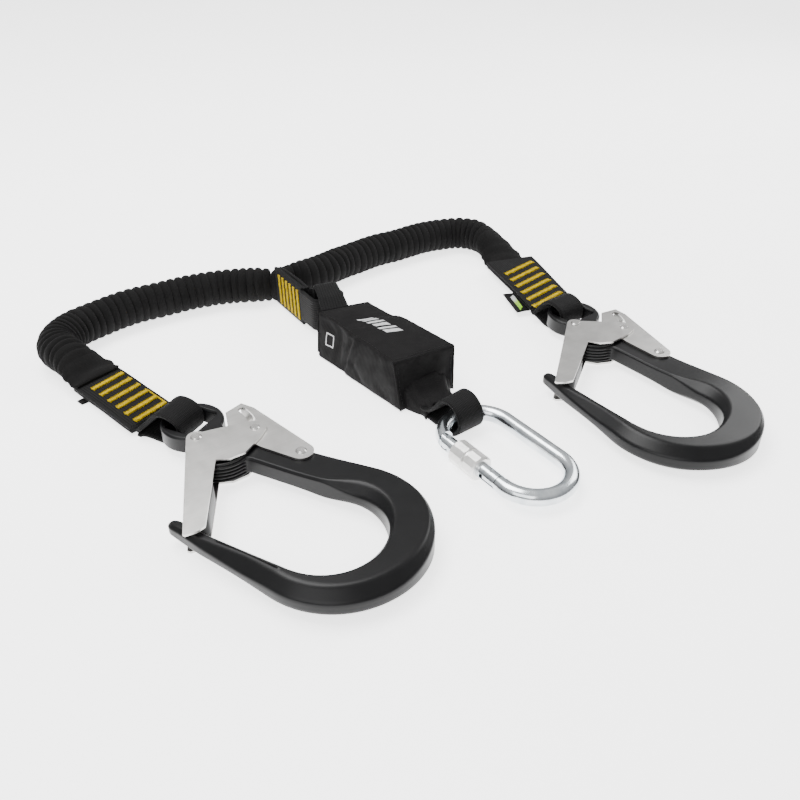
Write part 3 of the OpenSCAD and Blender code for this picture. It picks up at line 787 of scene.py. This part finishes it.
def leg(name, route, mat, seed, smooth_from, flat_from, end_shape):
    """A pleated elastic sleeve. Its pleats fade over the last smooth_from, and it flattens over
    the last flat_from, to the half width, half height and middle height in end_shape."""
    line = resample(catmull(route), LEG_STEP)
    n, sides, pitch, bend_pitch, depth = len(line), 56, 7.2, 5.4, 3.1
    at = np.linspace(0, LEG_STEP * (n - 1), n)
    total = at[-1]
    rng = np.random.default_rng(seed)
    marks = [0.0]
    while marks[-1] < total:
        tight = name == "left" and total - 92 < marks[-1] < total - 24
        marks.append(marks[-1] + (bend_pitch if tight else pitch) * rng.uniform(0.92, 1.08))
    height = rng.uniform(0.9, 1.04, len(marks) + 1)
    lean = rng.uniform(-0.9, 0.9, len(marks) + 1)
    turn = rng.uniform(0, 2 * math.pi, len(marks) + 1)
    rings, centres = [], []
    theta = np.linspace(0, 2 * math.pi, sides, endpoint=False)
    for i, (p, s) in enumerate(zip(line, at)):
        ahead = ahead_at(line, i, 3)
        k = min(np.searchsorted(marks, s, side="right") - 1, len(marks) - 2)
        f = (s - marks[k]) / (marks[k + 1] - marks[k])
        way = theta + turn[k] * (1 - f) + turn[k + 1] * f
        where = s + (lean[k] * (1 - f) + lean[k + 1] * f) * np.sin(way)
        idx = np.clip(np.searchsorted(marks, where, side="right") - 1, 0, len(marks) - 2)
        lo, hi = np.array(marks)[idx], np.array(marks)[idx + 1]
        phase = (where - lo) / (hi - lo)
        rib = np.abs(np.sin(math.pi * phase)) ** 0.36
        calm = 1 - 0.85 * float(smoothstep(total - smooth_from, total - smooth_from + 12, s))
        deep = depth * calm
        r = LEG_R * (1 - 0.02 * (1 - height[idx])) - deep * (1 - rib * (0.8 + 0.2 * height[idx]))
        r = r + 0.25 * np.sin(3 * theta + 0.11 * s) - 0.2
        flat = float(smoothstep(total - flat_from, total - 6, s))
        half_w = 1 + flat * (end_shape[0] / 15 - 1)
        half_h = 1 + flat * (end_shape[1] / 15 - 1)
        mid_z = LEG_Z + flat * (end_shape[2] - LEG_Z)
        start = 1 - 0.45 * (1 - float(smoothstep(0, 14, s)))
        cap = math.sqrt(max(1 - max(0.0, (s - total + 3) / 3.1) ** 2, 0.0))
        ripple = 0.5 * flat * math.sin(0.55 * s) * np.cos(2 * theta + 0.05 * s)
        x = (r * np.cos(theta) * half_w * start + ripple) * (0.9 + 0.1 * cap)
        z = (r * np.sin(theta) * half_h + ripple) * cap
        z = np.maximum(mid_z + z, 0.35 + 0.1 * np.abs(np.sin(theta * 2)))
        rings.append([V(p[0] - ahead[1] * a, p[1] + ahead[0] * a, b) for a, b in zip(x, z)])
        centres.append(V(p[0], p[1], mid_z))
    obj = Parts().add(*skin(rings)).piece(name + "_leg", mat, "lanyard", "leg_fabric",
                                          (name + "_leg_sleeve", name + "_leg_core"))
    return obj, centres


def end_strap(name, start, end, low, mat, hides):
    """The stitched strap between a leg and its hook's loop: two layers of webbing.
    start and end are the corners of its two ends."""
    a, b = (V(*start[0]) + V(*start[1])) / 2, (V(*end[0]) + V(*end[1])) / 2
    wa, wb = np.linalg.norm(V(*start[1]) - V(*start[0])), np.linalg.norm(V(*end[1]) - V(*end[0]))
    parts = Parts()
    for layer in (0, 1):
        line, width, across = [], [], []
        for t in np.linspace(0, 1, 44):
            p = a + (b - a) * t
            z = low + WEB_T * (layer + 0.5) + 0.08 * layer + 0.5 * math.sin(math.pi * t) * layer
            d = (V(*start[1]) - V(*start[0])) * (1 - t) / wa + (V(*end[1]) - V(*end[0])) * t / wb
            line.append(V(p[0], p[1], z))
            across.append(V(d[0], d[1], 0))
            tuck = 0.0 if layer else 1.2    # the lower layer is a little narrower
            width.append((wa * (1 - t) + wb * t) * 0.965 - tuck + 0.3 * math.sin(9 * t))
        parts.add(*skin(sweep(line, across, np.array(width), WEB_T - 0.05, 0.12)))
    parts.piece(name, mat, "lanyard", "black_webbing", hides, sharp=50)


def zigzag(parts, p, q, out, half, pitch=1.5, radius=0.52):
    """One bar tack: thread to and fro across a bar from p to q, standing out along out."""
    along = unit(q - p)
    side = unit(np.cross(out, along))
    count = int(np.linalg.norm(q - p) / pitch * 2)
    line = []
    for i in range(count + 1):
        f = i / count
        sway = half * (1 if i % 2 else -1) * random.uniform(0.86, 1.1)
        c = p + (q - p) * f + along * random.uniform(-0.12, 0.12)
        line += [c - side * sway * 0.4 + out * 0.32 - along * pitch * 0.1, c + side * sway + out * 0.02]
    parts.add(*skin(round_tube(line, radius, 6)))


def tacks(name, bars, out, mat, node, half=2.9, links=()):
    """Bar tacks across a strap, and thinner lines of stitching that link them."""
    parts = Parts()
    for p, q in bars:
        zigzag(parts, p, q, out, half)
    for p, q in links:
        zigzag(parts, p, q, out, 0.6, pitch=2.2, radius=0.38)
    parts.piece(name, mat, "lanyard", "tack_thread", (node,))


def bars_from(p, q, step, count, z):
    """The ends of evenly spaced bars, from the first bar's two ends and the step between bars."""
    p, q, step = V(*p), V(*q), V(*step)
    return [(V(*(p + step * i), z), V(*(q + step * i), z)) for i in range(count)]


# ------------------------------------------------------------------------ pack

# The pack's frame: its near end's middle on the floor, its turn in degrees, and its length.
PACK_AT, PACK_TURN = V(-3, -3), 5.7
PACK_LONG = 104.0
PACK_X = (math.cos(math.radians(PACK_TURN)), math.sin(math.radians(PACK_TURN)), 0)
PACK_Y = (-PACK_X[1], PACK_X[0], 0)


def pack_row(x, y, z):
    """A place in the pack's frame, in the whole part's frame."""
    c, s = PACK_X[:2]
    return V(PACK_AT[0] + c * x - s * y, PACK_AT[1] + s * x + c * y, z)


def pack_edges(y):
    """The cover's section at a place along it: the left and right side low down, the same
    at the top, and the height."""
    t = y / PACK_LONG
    step = float(smoothstep(0.56, 0.72, t))
    return (-23.0 + 1.0 * t + 1.2 * step, 23.0 - 2.0 * t - 1.0 * step,
            -22.3 + 2.4 * t + 2.6 * step, 22.3 - 2.0 * t - 3.6 * step,
            38.3 - 0.8 * t - 1.2 * step)


# How far the soft cover's corners lie from a plain block's: [side][end][height] -> (x, y).
PACK_PULL = np.array([[[(-6, -5), (-5.6, 4.5)], [(-6, -2), (-1.5, 5)]],
                      [[(-1, -8), (1.6, -5.5)], [(5, -6), (5.5, -9)]]], float)


def pack_point(x, y, z):
    """x and z from 0 to 1 over the section, y in millimetres along."""
    t = min(max(y / PACK_LONG, 0), 1)
    pull = PACK_PULL[0] * (1 - x) + PACK_PULL[1] * x
    pull = pull[0] * (1 - t) + pull[1] * t
    pull = pull[0] * (1 - z) + pull[1] * z
    low_l, low_r, top_l, top_r, high = pack_edges(y)
    left = low_l + (top_l - low_l) * z
    right = low_r + (top_r - low_r) * z
    return V(left + (right - left) * x + pull[0], y + pull[1], 0.6 + (high - 0.6) * z)


def pack_cover_piece(mat):
    """The sewn cover: a grid over the block, swollen as cloth, creased and smoothed."""
    nx, ny, nz = 19, 42, 16
    index, verts = {}, []
    for i in range(nx + 1):
        for j in range(ny + 1):
            for k in range(nz + 1):
                if i in (0, nx) or j in (0, ny) or k in (0, nz):
                    index[i, j, k] = len(verts)
                    verts.append(pack_point(i / nx, 0.8 + (PACK_LONG - 1.6) * j / ny, k / nz))
    faces = []
    for a, b, c, na, nb, nc in ((0, 1, 2, nx, ny, nz), (1, 2, 0, ny, nz, nx), (2, 0, 1, nz, nx, ny)):
        for end in (0, nc):
            for i in range(na):
                for j in range(nb):
                    quad = []
                    for di, dj in ((0, 0), (1, 0), (1, 1), (0, 1)):
                        key = [0, 0, 0]
                        key[a], key[b], key[c] = i + di, j + dj, end
                        quad.append(index[tuple(key)])
                    faces.append(tuple(quad))
    world = [pack_row(*p) for p in verts]
    obj = piece("pack_cover_cloth", world, faces, mat, "lanyard", ("pack_cover",))
    pinned = [v for (i, j, k), v in index.items()
              if (i in (0, nx)) + (j in (0, ny)) + (k in (0, nz)) >= 2 or k == 0]
    puff_cloth(obj, pinned)
    crease(obj)
    smooth = obj.modifiers.new("smooth", "SUBSURF")
    smooth.levels = smooth.render_levels = 1
    apply_modifiers(obj)
    return obj


def apply_modifiers(obj):
    """Keeps the mesh that the modifiers make, and drops them."""
    bpy.context.view_layer.update()
    deps = bpy.context.evaluated_depsgraph_get()
    mesh = bpy.data.meshes.new_from_object(obj.evaluated_get(deps))
    obj.modifiers.clear()
    old = obj.data
    obj.data = mesh
    bpy.data.meshes.remove(old)
    for poly in mesh.polygons:
        poly.use_smooth = True


def puff_cloth(obj, pinned, cap=2.4):
    """Lets the cover's panels swell and wrinkle between their seams, which stay where they are."""
    before = np.array([v.co[:] for v in obj.data.vertices])
    group = obj.vertex_groups.new(name="seams")
    group.add(pinned, 1.0, "REPLACE")
    cloth = obj.modifiers.new("cloth", "CLOTH")
    s = cloth.settings
    s.quality = 6
    s.mass = 0.25
    s.tension_stiffness = s.compression_stiffness = 18
    s.shear_stiffness = 6
    s.bending_stiffness = 0.4
    s.use_pressure = True
    s.uniform_pressure_force = 2.2
    s.shrink_min = -0.02
    s.effector_weights.gravity = 0
    s.vertex_group_mass = "seams"
    cloth.collision_settings.use_collision = False
    scene = bpy.context.scene
    for f in range(1, 21):
        scene.frame_set(f)
    deps = bpy.context.evaluated_depsgraph_get()
    mesh = obj.evaluated_get(deps).to_mesh()
    after = np.array([v.co[:] for v in mesh.vertices])
    obj.evaluated_get(deps).to_mesh_clear()
    obj.modifiers.clear()
    move = after - before
    size = np.linalg.norm(move, axis=1)
    limit = cap * MM
    move *= (limit * np.tanh(size / limit) / np.maximum(size, 1e-9))[:, None]
    final = before + move
    final[:, 2] = np.maximum(final[:, 2], 0.0004)
    for v, co in zip(obj.data.vertices, final):
        v.co = co
    scene.frame_set(1)


def crease(obj):
    """Folds in the cover's sides, top and front, as it hangs on its contents."""
    c, s = PACK_X[:2]
    inwards = {"left": V(*PACK_X), "right": -V(*PACK_X), "top": V(*DOWN), "front": V(*PACK_Y)}
    folds = [  # side, start and end (y, z) on it, depth, width
        ("left", (68, 2), (56, 36), 2.4, 4.5),
        ("left", (60, 2), (47, 30), 1.2, 4.0),
        ("left", (80, 3), (74, 32), 1.0, 4.0),
        ("left", (34, 4), (24, 24), 0.6, 5.0),
        ("left", (8, 34), (40, 22), 0.5, 6.0),
        ("top", (64, 23), (56, -4), 1.3, 4.5),
        ("top", (66, -22), (60, -6), 0.9, 4.0),
        ("top", (92, -8), (70, 2), 0.7, 6.0),
        ("top", (30, 12), (12, 2), 0.5, 7.0),
        ("front", (-14, 6), (14, 14), 1.3, 6.0),
        ("front", (-18, 30), (6, 24), 0.5, 6.0),
        ("right", (66, 4), (58, 34), 2.0, 4.5),
        ("right", (40, 6), (52, 30), 0.8, 5.0),
    ]
    for v in obj.data.vertices:
        x, y, z = v.co / MM
        dx, dy = x - PACK_AT[0], y - PACK_AT[1]
        px, py = c * dx + s * dy, -s * dx + c * dy
        _, _, top_l, top_r, high = pack_edges(min(max(py, 0), PACK_LONG))
        near_left = smoothstep(5, 0, px - top_l)
        near_right = smoothstep(5, 0, top_r - px)
        near_top = smoothstep(5, 0, high - z)
        near_front = smoothstep(4, 0, py)
        rim = 1 - 0.75 * min(1, (near_top + near_left + near_right) * (near_top > 0.05))
        push = V(0, 0, 0)
        for side, a, b, depth, width in folds:
            weight, q = {"left": (near_left, (py, z)), "right": (near_right, (py, z)),
                         "top": (near_top, (py, px)), "front": (near_front, (px, z))}[side]
            if weight <= 0:
                continue
            a, b, q = V(*a), V(*b), V(*q)
            t = np.dot(q - a, b - a) / np.dot(b - a, b - a)
            reach = float(smoothstep(-0.12, 0.15, t) * smoothstep(1.25, 0.75, t))
            off = np.linalg.norm(q - a - (b - a) * t) / width
            shape = -math.exp(-off * off * 4) + 0.45 * math.exp(-(off - 1.1) ** 2 * 5)
            push += inwards[side] * (-shape) * depth * weight * reach * rim
        v.co += Vector(push * MM)
        v.co.z = max(v.co.z, 0.0004)


def on_surface(obj, points, way, lift):
    """Drops points onto a piece along a direction and lifts them a little off it."""
    tree = BVHTree.FromObject(obj, bpy.context.evaluated_depsgraph_get())
    out = []
    for p in points:
        start = Vector(p * MM) - Vector(way) * 0.03
        hit, normal, _, _ = tree.ray_cast(start, Vector(way))
        if hit is None:
            hit, normal, _, _ = tree.find_nearest(Vector(p * MM))
        if normal.dot(Vector(way)) > 0:
            normal = -normal
        out.append(np.array(hit[:]) / MM + np.array(normal[:]) * lift)
    return out


def slab(parts, top, low, nu, nv):
    """A thin sheet between two grids of nu by nv cells. Its UV map runs from 0 to 1 over them."""
    m, size = nu + 1, len(top)
    faces, uvs = [], []
    for j in range(nv):
        for i in range(nu):
            q = (j * m + i, j * m + i + 1, (j + 1) * m + i + 1, (j + 1) * m + i)
            uv = tuple(((k % m) / nu, (k // m) / nv) for k in q)
            faces += [q, tuple(size + k for k in q[::-1])]
            uvs += [uv, uv[::-1]]
    border = (list(range(m)) + [j * m + nu for j in range(1, nv + 1)]
              + [nv * m + i for i in range(nu - 1, -1, -1)] + [j * m for j in range(nv - 1, 0, -1)])
    for i, k in zip(border, border[1:] + border[:1]):
        faces.append((i, k, size + k, size + i))
        uvs.append(((0, 0),) * 4)
    parts.add(top + low, faces, uvs)


def print_patch(parts, cover, corners, way, cells=(8, 5), lift=0.12):
    """A patch of print laid on the cover, lift thick: corners in the pack's frame, going round."""
    a, b, c, d = [V(*p) for p in corners]
    nu, nv = cells
    grid = [a + (b - a) * u + (d - a) * v + (a - b + c - d) * u * v
            for v in np.linspace(0, 1, nv + 1) for u in np.linspace(0, 1, nu + 1)]
    row = [pack_row(*p) for p in grid]
    slab(parts, on_surface(cover, row, way, lift), on_surface(cover, row, way, 0.0), nu, nv)


def pack_seams(mat):
    """The piping round the front panel and along the top's sides and far edge."""
    parts = Parts()
    rise, span = (0.02, 0.25, 0.5, 0.75), (0, 0.25, 0.5, 0.75, 1)
    front = [(0, z) for z in rise] + [(x, 1) for x in span] + [(1, z) for z in rise[::-1]]
    line = resample([pack_point(x, 0.8, z) for x, z in front], 1.5)
    line = [pack_row(p[0] * 0.985 + 0.1 * math.sin(i * 0.9), p[1] + 0.3, p[2] - 0.4)
            for i, p in enumerate(line)]
    parts.add(*skin(round_tube(line, 0.85, 8)))
    for x in (0.0, 1.0):
        pts = []
        for y in np.linspace(1, PACK_LONG - 2, 80):
            p = pack_point(x, y, 1)
            pts.append(pack_row(p[0] * 0.972, p[1], p[2] - 0.55 + 0.1 * math.sin(y * 0.7)))
        parts.add(*skin(round_tube(pts, 0.6, 8)))
    far = [pack_row(*pack_point(x, PACK_LONG - 1, z))
           for x, z in [(0, 0.1), (0, 1), (0.5, 1), (1, 1), (1, 0.1)]]
    parts.add(*skin(round_tube(resample(far, 2), 0.6, 8)))
    parts.piece("pack_piping", mat, "lanyard", "pack_nylon")


def pack_stitches(cover, mat):
    """Short stitches beside the piping, on the top and the front."""
    parts = Parts()

    def stitch(points, way):
        row = [pack_row(*pack_point(*p)) for p in points]
        parts.add(*skin(round_tube(on_surface(cover, row, way, 0.12), 0.17, 5)))

    for x in (0.045, 0.955):
        for y in np.arange(4, PACK_LONG - 3, 3.4):
            stitch([(x, y + d, 1.0) for d in (0, 1.1, 2.2)], DOWN)
    for z in np.arange(5, 35, 3.4):
        for x in (0.05, 0.95):
            stitch([(x, 0.8, (z + d) / 38) for d in (0, 1.1, 2.2)], PACK_Y)
    for u in np.arange(0.07, 0.92, 0.075):
        stitch([(u + d, 3.2, 1.0) for d in (0, 0.022, 0.045)], DOWN)
    parts.piece("pack_stitching", mat, "lanyard", "pack_nylon")


def pack_print(cover, silver):
    """A generic mark on the top, slanted bars, and a plain square outline on the left side."""
    mark, lean = Parts(), 6.0
    for y, tall, wide in [(34, 11.5, 5.5), (41.5, 13, 3), (47.5, 10, 5.5), (55.5, 12, 3),
                          (61.5, 9.5, 4.5), (69, 11, 2.6)]:
        x0 = 1.5 - tall / 2
        corners = [(x0, y + lean, 30), (x0 + tall, y, 30), (x0 + tall, y + wide, 30),
                   (x0, y + lean + wide, 30)]
        print_patch(mark, cover, corners, DOWN)
    mark.piece("pack_print", silver, "lanyard", "pack_nylon")
    outline = Parts()
    y0, y1, z0, z1, w = 84.0, 93.0, 14.0, 25.0, 1.0
    for ya, yb, za, zb in ((y0, y1, z0, z0 + w), (y0, y1, z1 - w, z1),
                           (y0, y0 + w, z0, z1), (y1 - w, y1, z0, z1)):
        corners = [(-22, ya, za), (-22, yb, za), (-22, yb, zb), (-22, ya, zb)]
        print_patch(outline, cover, corners, PACK_X, (4, 4))
    outline.piece("pack_side_frame", silver, "lanyard", "pack_nylon")


def throat_piece(mat):
    """The cover's skirt, gathered round the root of the karabiner's loop."""
    rings_out, rings_in = [], []
    angles = np.linspace(math.radians(182), math.radians(-2), 40)
    for t in np.linspace(0, 1, 26):
        y = -1.0 - 28.5 * t
        half = 21.8 - 7.3 * float(smoothstep(0.05, 0.95, t)) - 1.2 * math.exp(-((t - 0.8) / 0.12) ** 2)
        high = 19.0 - 9.0 * float(smoothstep(0.0, 0.95, t)) + 1.1 * math.sin(t * 9)
        mid = -5.0 - 2.5 * t
        for store, inset in ((rings_out, 0.0), (rings_in, 1.3)):
            ring = []
            for a in angles:
                c, s = math.cos(a), math.sin(a)
                fold = 1.3 * math.sin(5 * a + 5 * t) * float(smoothstep(0, 0.3, t))
                fold += 0.7 * math.sin(11 * a - 7 * t)
                fold *= 0.8 if inset else 1.0
                x = mid + (half - inset + 0.4 * fold) * math.copysign(abs(c) ** 0.62, c)
                z = max(0.5, 0.5 + (high - inset + fold) * max(s, 0) ** 0.55)
                ring.append(V(x, y + 0.5 * fold * t, z))
            store.append(ring)
    rings = [out + inn[::-1] for out, inn in zip(rings_out, rings_in)]
    Parts().add(*skin(rings)).piece("pack_skirt", mat, "lanyard", "pack_nylon", ("pack_throat",))


# ------------------------------------------------------- loops and the fork

def karabiner_webbing(mat):
    """The loop that comes out of the skirt and goes round the karabiner's end bar."""
    line = [V(-3, 1.9), V(-30, 1.9), V(-51.5, 1.9)]
    line += arc(V(-51.5, 13.3), 11.5, -100, -180, 10)
    line += arc(V(-50, 13.3), 13, 175, 35, 20)
    line += [V(-35, 14.5), V(-29.5, 8.5), V(-24, 6.2), V(-3, 6)]
    line = soften(resample(line, 1.2), 3)
    at = np.linspace(0, 1, len(line))
    middle = np.exp(-((at - 0.62) / 0.2) ** 2)
    middle_x = -9.0
    pts = [V(middle_x + 0.6 * math.sin(6 * t), p[0], p[1]) for p, t in zip(line, at)]
    across = [V(1, 0.10 * m, 0.05 * m) for m in middle]
    web("karabiner_webbing", pts, across, 25 - 2.5 * middle, mat, ("karabiner_loop",), crown=0.2)


def far_loop_webbing(mat):
    """The pack's far loop, which holds the fork's."""
    line = [V(-3, 9), V(10, 3.2)]
    line += arc(V(24, 6.8), 5, -80, 0, 8) + arc(V(24, 38), 5, 0, 100, 10) + [V(10, 38.4), V(-4, 30)]
    line = soften(resample(line, 1.2), 3)
    turn = math.radians(-13)
    c, s = math.cos(turn), math.sin(turn)
    o = V(-20, 98) + V(c * 3 - s * 8, s * 3 + c * 8)
    pts = [V(o[0] - s * p[0], o[1] + c * p[0], p[1]) for p in line]
    at = np.linspace(0, 1, len(line))
    width = 20 + 3.5 * smoothstep(0.72, 0.98, at)
    web("pack_far_webbing", pts, V(c, s, 0), width, mat, ("pack_end_loop",), crown=0.15)


def on_edge(name, line, low, high, mat, hides=()):
    """Webbing standing on its edge, along a line on the floor."""
    pts = [V(p[0], p[1], (low + high) / 2) for p in line]
    web(name, pts, V(*UP), high - low, mat, hides, crown=0.1)


def fork(web_mat, thread_mat, cloth):
    """The webbing on edge between the pack and the legs; returns the joint where they part."""
    ring = [V(-22.4, 147.5)] + arc(V(-17, 129), 6, 180, 250, 8) + arc(V(-1.5, 127.5), 6, 250, 380, 14)
    ring += [V(2.5, 136), V(-16.4, 148)]
    ring = soften(resample(ring, 1.2), 2)
    on_edge("fork_ring_webbing", ring, 5, 34.5, web_mat, ("fork_ring",))
    up = np.linspace(0, 51, 40)
    outer = [V(-22.4 + 0.046 * t, 147 + t) for t in up]
    inner = [V(-16.6 + 0.02 * t + 1.3 * math.sin(t / 16), 147 + t) for t in up]
    middle = [V(-19.5 + 0.03 * t, 147 + t) for t in up]
    on_edge("fork_strap_webbing", outer, 1.2, 36.8, web_mat, ("fork_strap",))
    on_edge("fork_strap_back", inner, 2.4, 35.6, web_mat)
    on_edge("fork_strap_core", middle, 2.0, 35.8, web_mat)
    bars = []
    for i in range(6):
        y = 153 + 7 * i
        x = -24.05 + 0.0474 * (y - 147.4)
        bars.append((V(x, y - 0.6, 5.5), V(x, y + 0.6, 32.5)))
    tacks("fork_bar_tacks", bars, V(-1, 0.047, 0), thread_mat, "fork_tacks", half=2.2)
    line = [V(-21, 196), V(-16, 201), V(-9, 204), V(-2.5, 205)]
    line = resample(catmull([tuple(p) for p in line]), 1.0)
    rings = []
    theta = np.linspace(0, 2 * math.pi, 40, endpoint=False)
    for i, p in enumerate(line):
        t = i / (len(line) - 1)
        ahead = ahead_at(line, i)
        half = 7.5 + 2.0 * math.sin(math.pi * t)
        tall = 13.5 + 0.6 * math.sin(7 * t)
        ring_pts = []
        for a in theta:
            x = half * math.copysign(abs(math.cos(a)) ** 0.7, math.cos(a)) + 0.3 * math.sin(5 * a + 6 * t)
            z = 17 + tall * math.copysign(abs(math.sin(a)) ** 0.7, math.sin(a))
            ring_pts.append(V(p[0] - ahead[1] * x, p[1] + ahead[0] * x, max(z, 0.6)))
        rings.append(ring_pts)
    return Parts().add(*skin(rings)).piece("fork_gather", cloth, "lanyard", "leg_fabric",
                                           ("fork_junction",))


def tag_plate(name, corners, z0, z1, mat, hides=()):
    """A small flat cloth label between two heights, a little wavy, with soft edges."""
    a, b, d, e = [V(*p) for p in corners]
    top, low = [], []
    n = 10
    for j in range(n + 1):
        for i in range(n + 1):
            u, v = i / n, j / n
            p = a + (b - a) * v + (e - a) * u + (a - b + d - e) * u * v
            edge = min(u, v, 1 - u, 1 - v)
            sag = 0.25 * math.sin(5 * u + 3 * v)
            top.append(V(p[0], p[1], z1 + sag - 0.25 * math.exp(-edge * 20)))
            low.append(V(p[0], p[1], z0 + sag + 0.2 * math.exp(-edge * 20)))
    parts = Parts()
    slab(parts, top, low, n, n)
    parts.piece(name, mat, "lanyard", "black_webbing", hides)


# --------------------------------------------------------------------- assembly

def finish_cad(mats):
    """Gives every CAD node that stays in view its finish: the first key found in its name."""
    finish = {
        "tear_webbing": "tear", "karabiner_sleeve": "sleeve", "karabiner_": "zinc", "spring": "spring",
        "rivet": "rivet", "latch_pin": "rivet", "left_lever": "left_plate", "left_gate": "left_plate",
        "right_lever": "right_plate", "right_gate": "right_plate",
    }
    for name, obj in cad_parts.items():
        key = next((k for k in finish if k in name), None)
        if key is None or name == "karabiner_loop":
            continue
        mat = mats[finish[key]]
        if not obj.material_slots:
            obj.data.materials.append(mat)
        for spot in obj.material_slots:
            spot.material = mat


def main():
    add_camera()
    leg_mat = leg_fabric()
    web_mat = webbing("black_webbing")
    loop_mat = webbing("loop_webbing", light=(0.0085, 0.0082, 0.0082), ribs=0.26)
    yellow = thread("tack_thread", (0.3, 0.2, 0.0), (0.56, 0.4, 0.0))
    nylon = pack_nylon()
    black = anodised()
    rubber = moulded("elastic", (0.002, 0.002, 0.002), (0.006, 0.006, 0.006), (0.3, 0.5))
    mats = {
        "zinc": zinc(), "sleeve": sleeve_alloy(), "spring": stainless("spring_wire"),
        "rivet": stainless("rivet_steel", (300, 300, 300), (0.66, 0.65, 0.63), (0.2, 0.32)),
        "left_plate": stainless("left_plate_steel", turn=math.radians(61.4)),
        "right_plate": stainless("right_plate_steel", turn=math.radians(87.6)),
        "tear": webbing("tear_web", (0.4, 0.36, 0.27), (0.62, 0.58, 0.46)),
    }
    left_leg, left_path = leg("left", LEFT_ROUTE, leg_mat, 3, 30, 40, (19.3, 2.1, 9.9))
    right_leg, right_path = leg("right", RIGHT_ROUTE, leg_mat, 5, 52, 62, (20.5, 2.6, 3.3))
    gather = fork(web_mat, yellow, leg_mat)
    for name, hook, low, end, end_width in (("left", LEFT, 2, -56, 38), ("right", RIGHT, 6, -49, 41)):
        hook_body(name, hook, black)
        hub_rings(name, hook, rubber)
        gate_insert(name, hook, rubber)
        eye_webbing(name, hook, low, end, end_width, loop_mat)
    end_strap("left_strap_webbing", ((-181.5, 163), (-221.5, 155.5)), ((-168.4, 90.4), (-203.5, 71.3)), 2,
              web_mat, ("left_end_strap",))
    end_strap("right_strap_webbing", ((223.9, 134.7), (174.9, 122)), ((190.3, 38), (146, 35)), 6,
              web_mat, ("right_end_strap",))
    tacks("left_bar_tacks", bars_from((-209.5, 140), (-183, 149.5), (2.2, -11.6), 6, 8.75), V(*UP),
          yellow, "left_end_tacks", links=[(V(-176.4, 114.7, 8.8), V(-172, 91.5, 8.8))])
    tacks("right_bar_tacks", bars_from((172.6, 103.2), (211.5, 109.8), (-4.8, -12.7), 6, 12.75), V(*UP),
          yellow, "right_end_tacks")
    cover = pack_cover_piece(nylon)
    pack_seams(nylon)
    pack_stitches(cover, thread("pack_thread", (0.008, 0.008, 0.008), (0.02, 0.02, 0.02)))
    pack_print(cover, print_silver())
    throat_piece(nylon)
    karabiner_webbing(loop_mat)
    far_loop_webbing(web_mat)
    tag_plate("right_label_cloth", ((151, 47), (165, 80), (152, 84), (139.5, 51)), 4.4, 5.8,
              web_mat, ("right_label",))
    tag_plate("right_label_print", ((158.6, 77), (148.4, 52.5), (143.2, 50.6), (153.4, 75.4)),
              5.6, 6.15, label_print())
    tag_plate("left_tag_cloth", ((-222, 142.5), (-220.6, 136.5), (-208, 139), (-209.4, 145)), 0.4, 1.9,
              web_mat, ("left_tag",))
    finish_cad(mats)
    add_stage()


main()
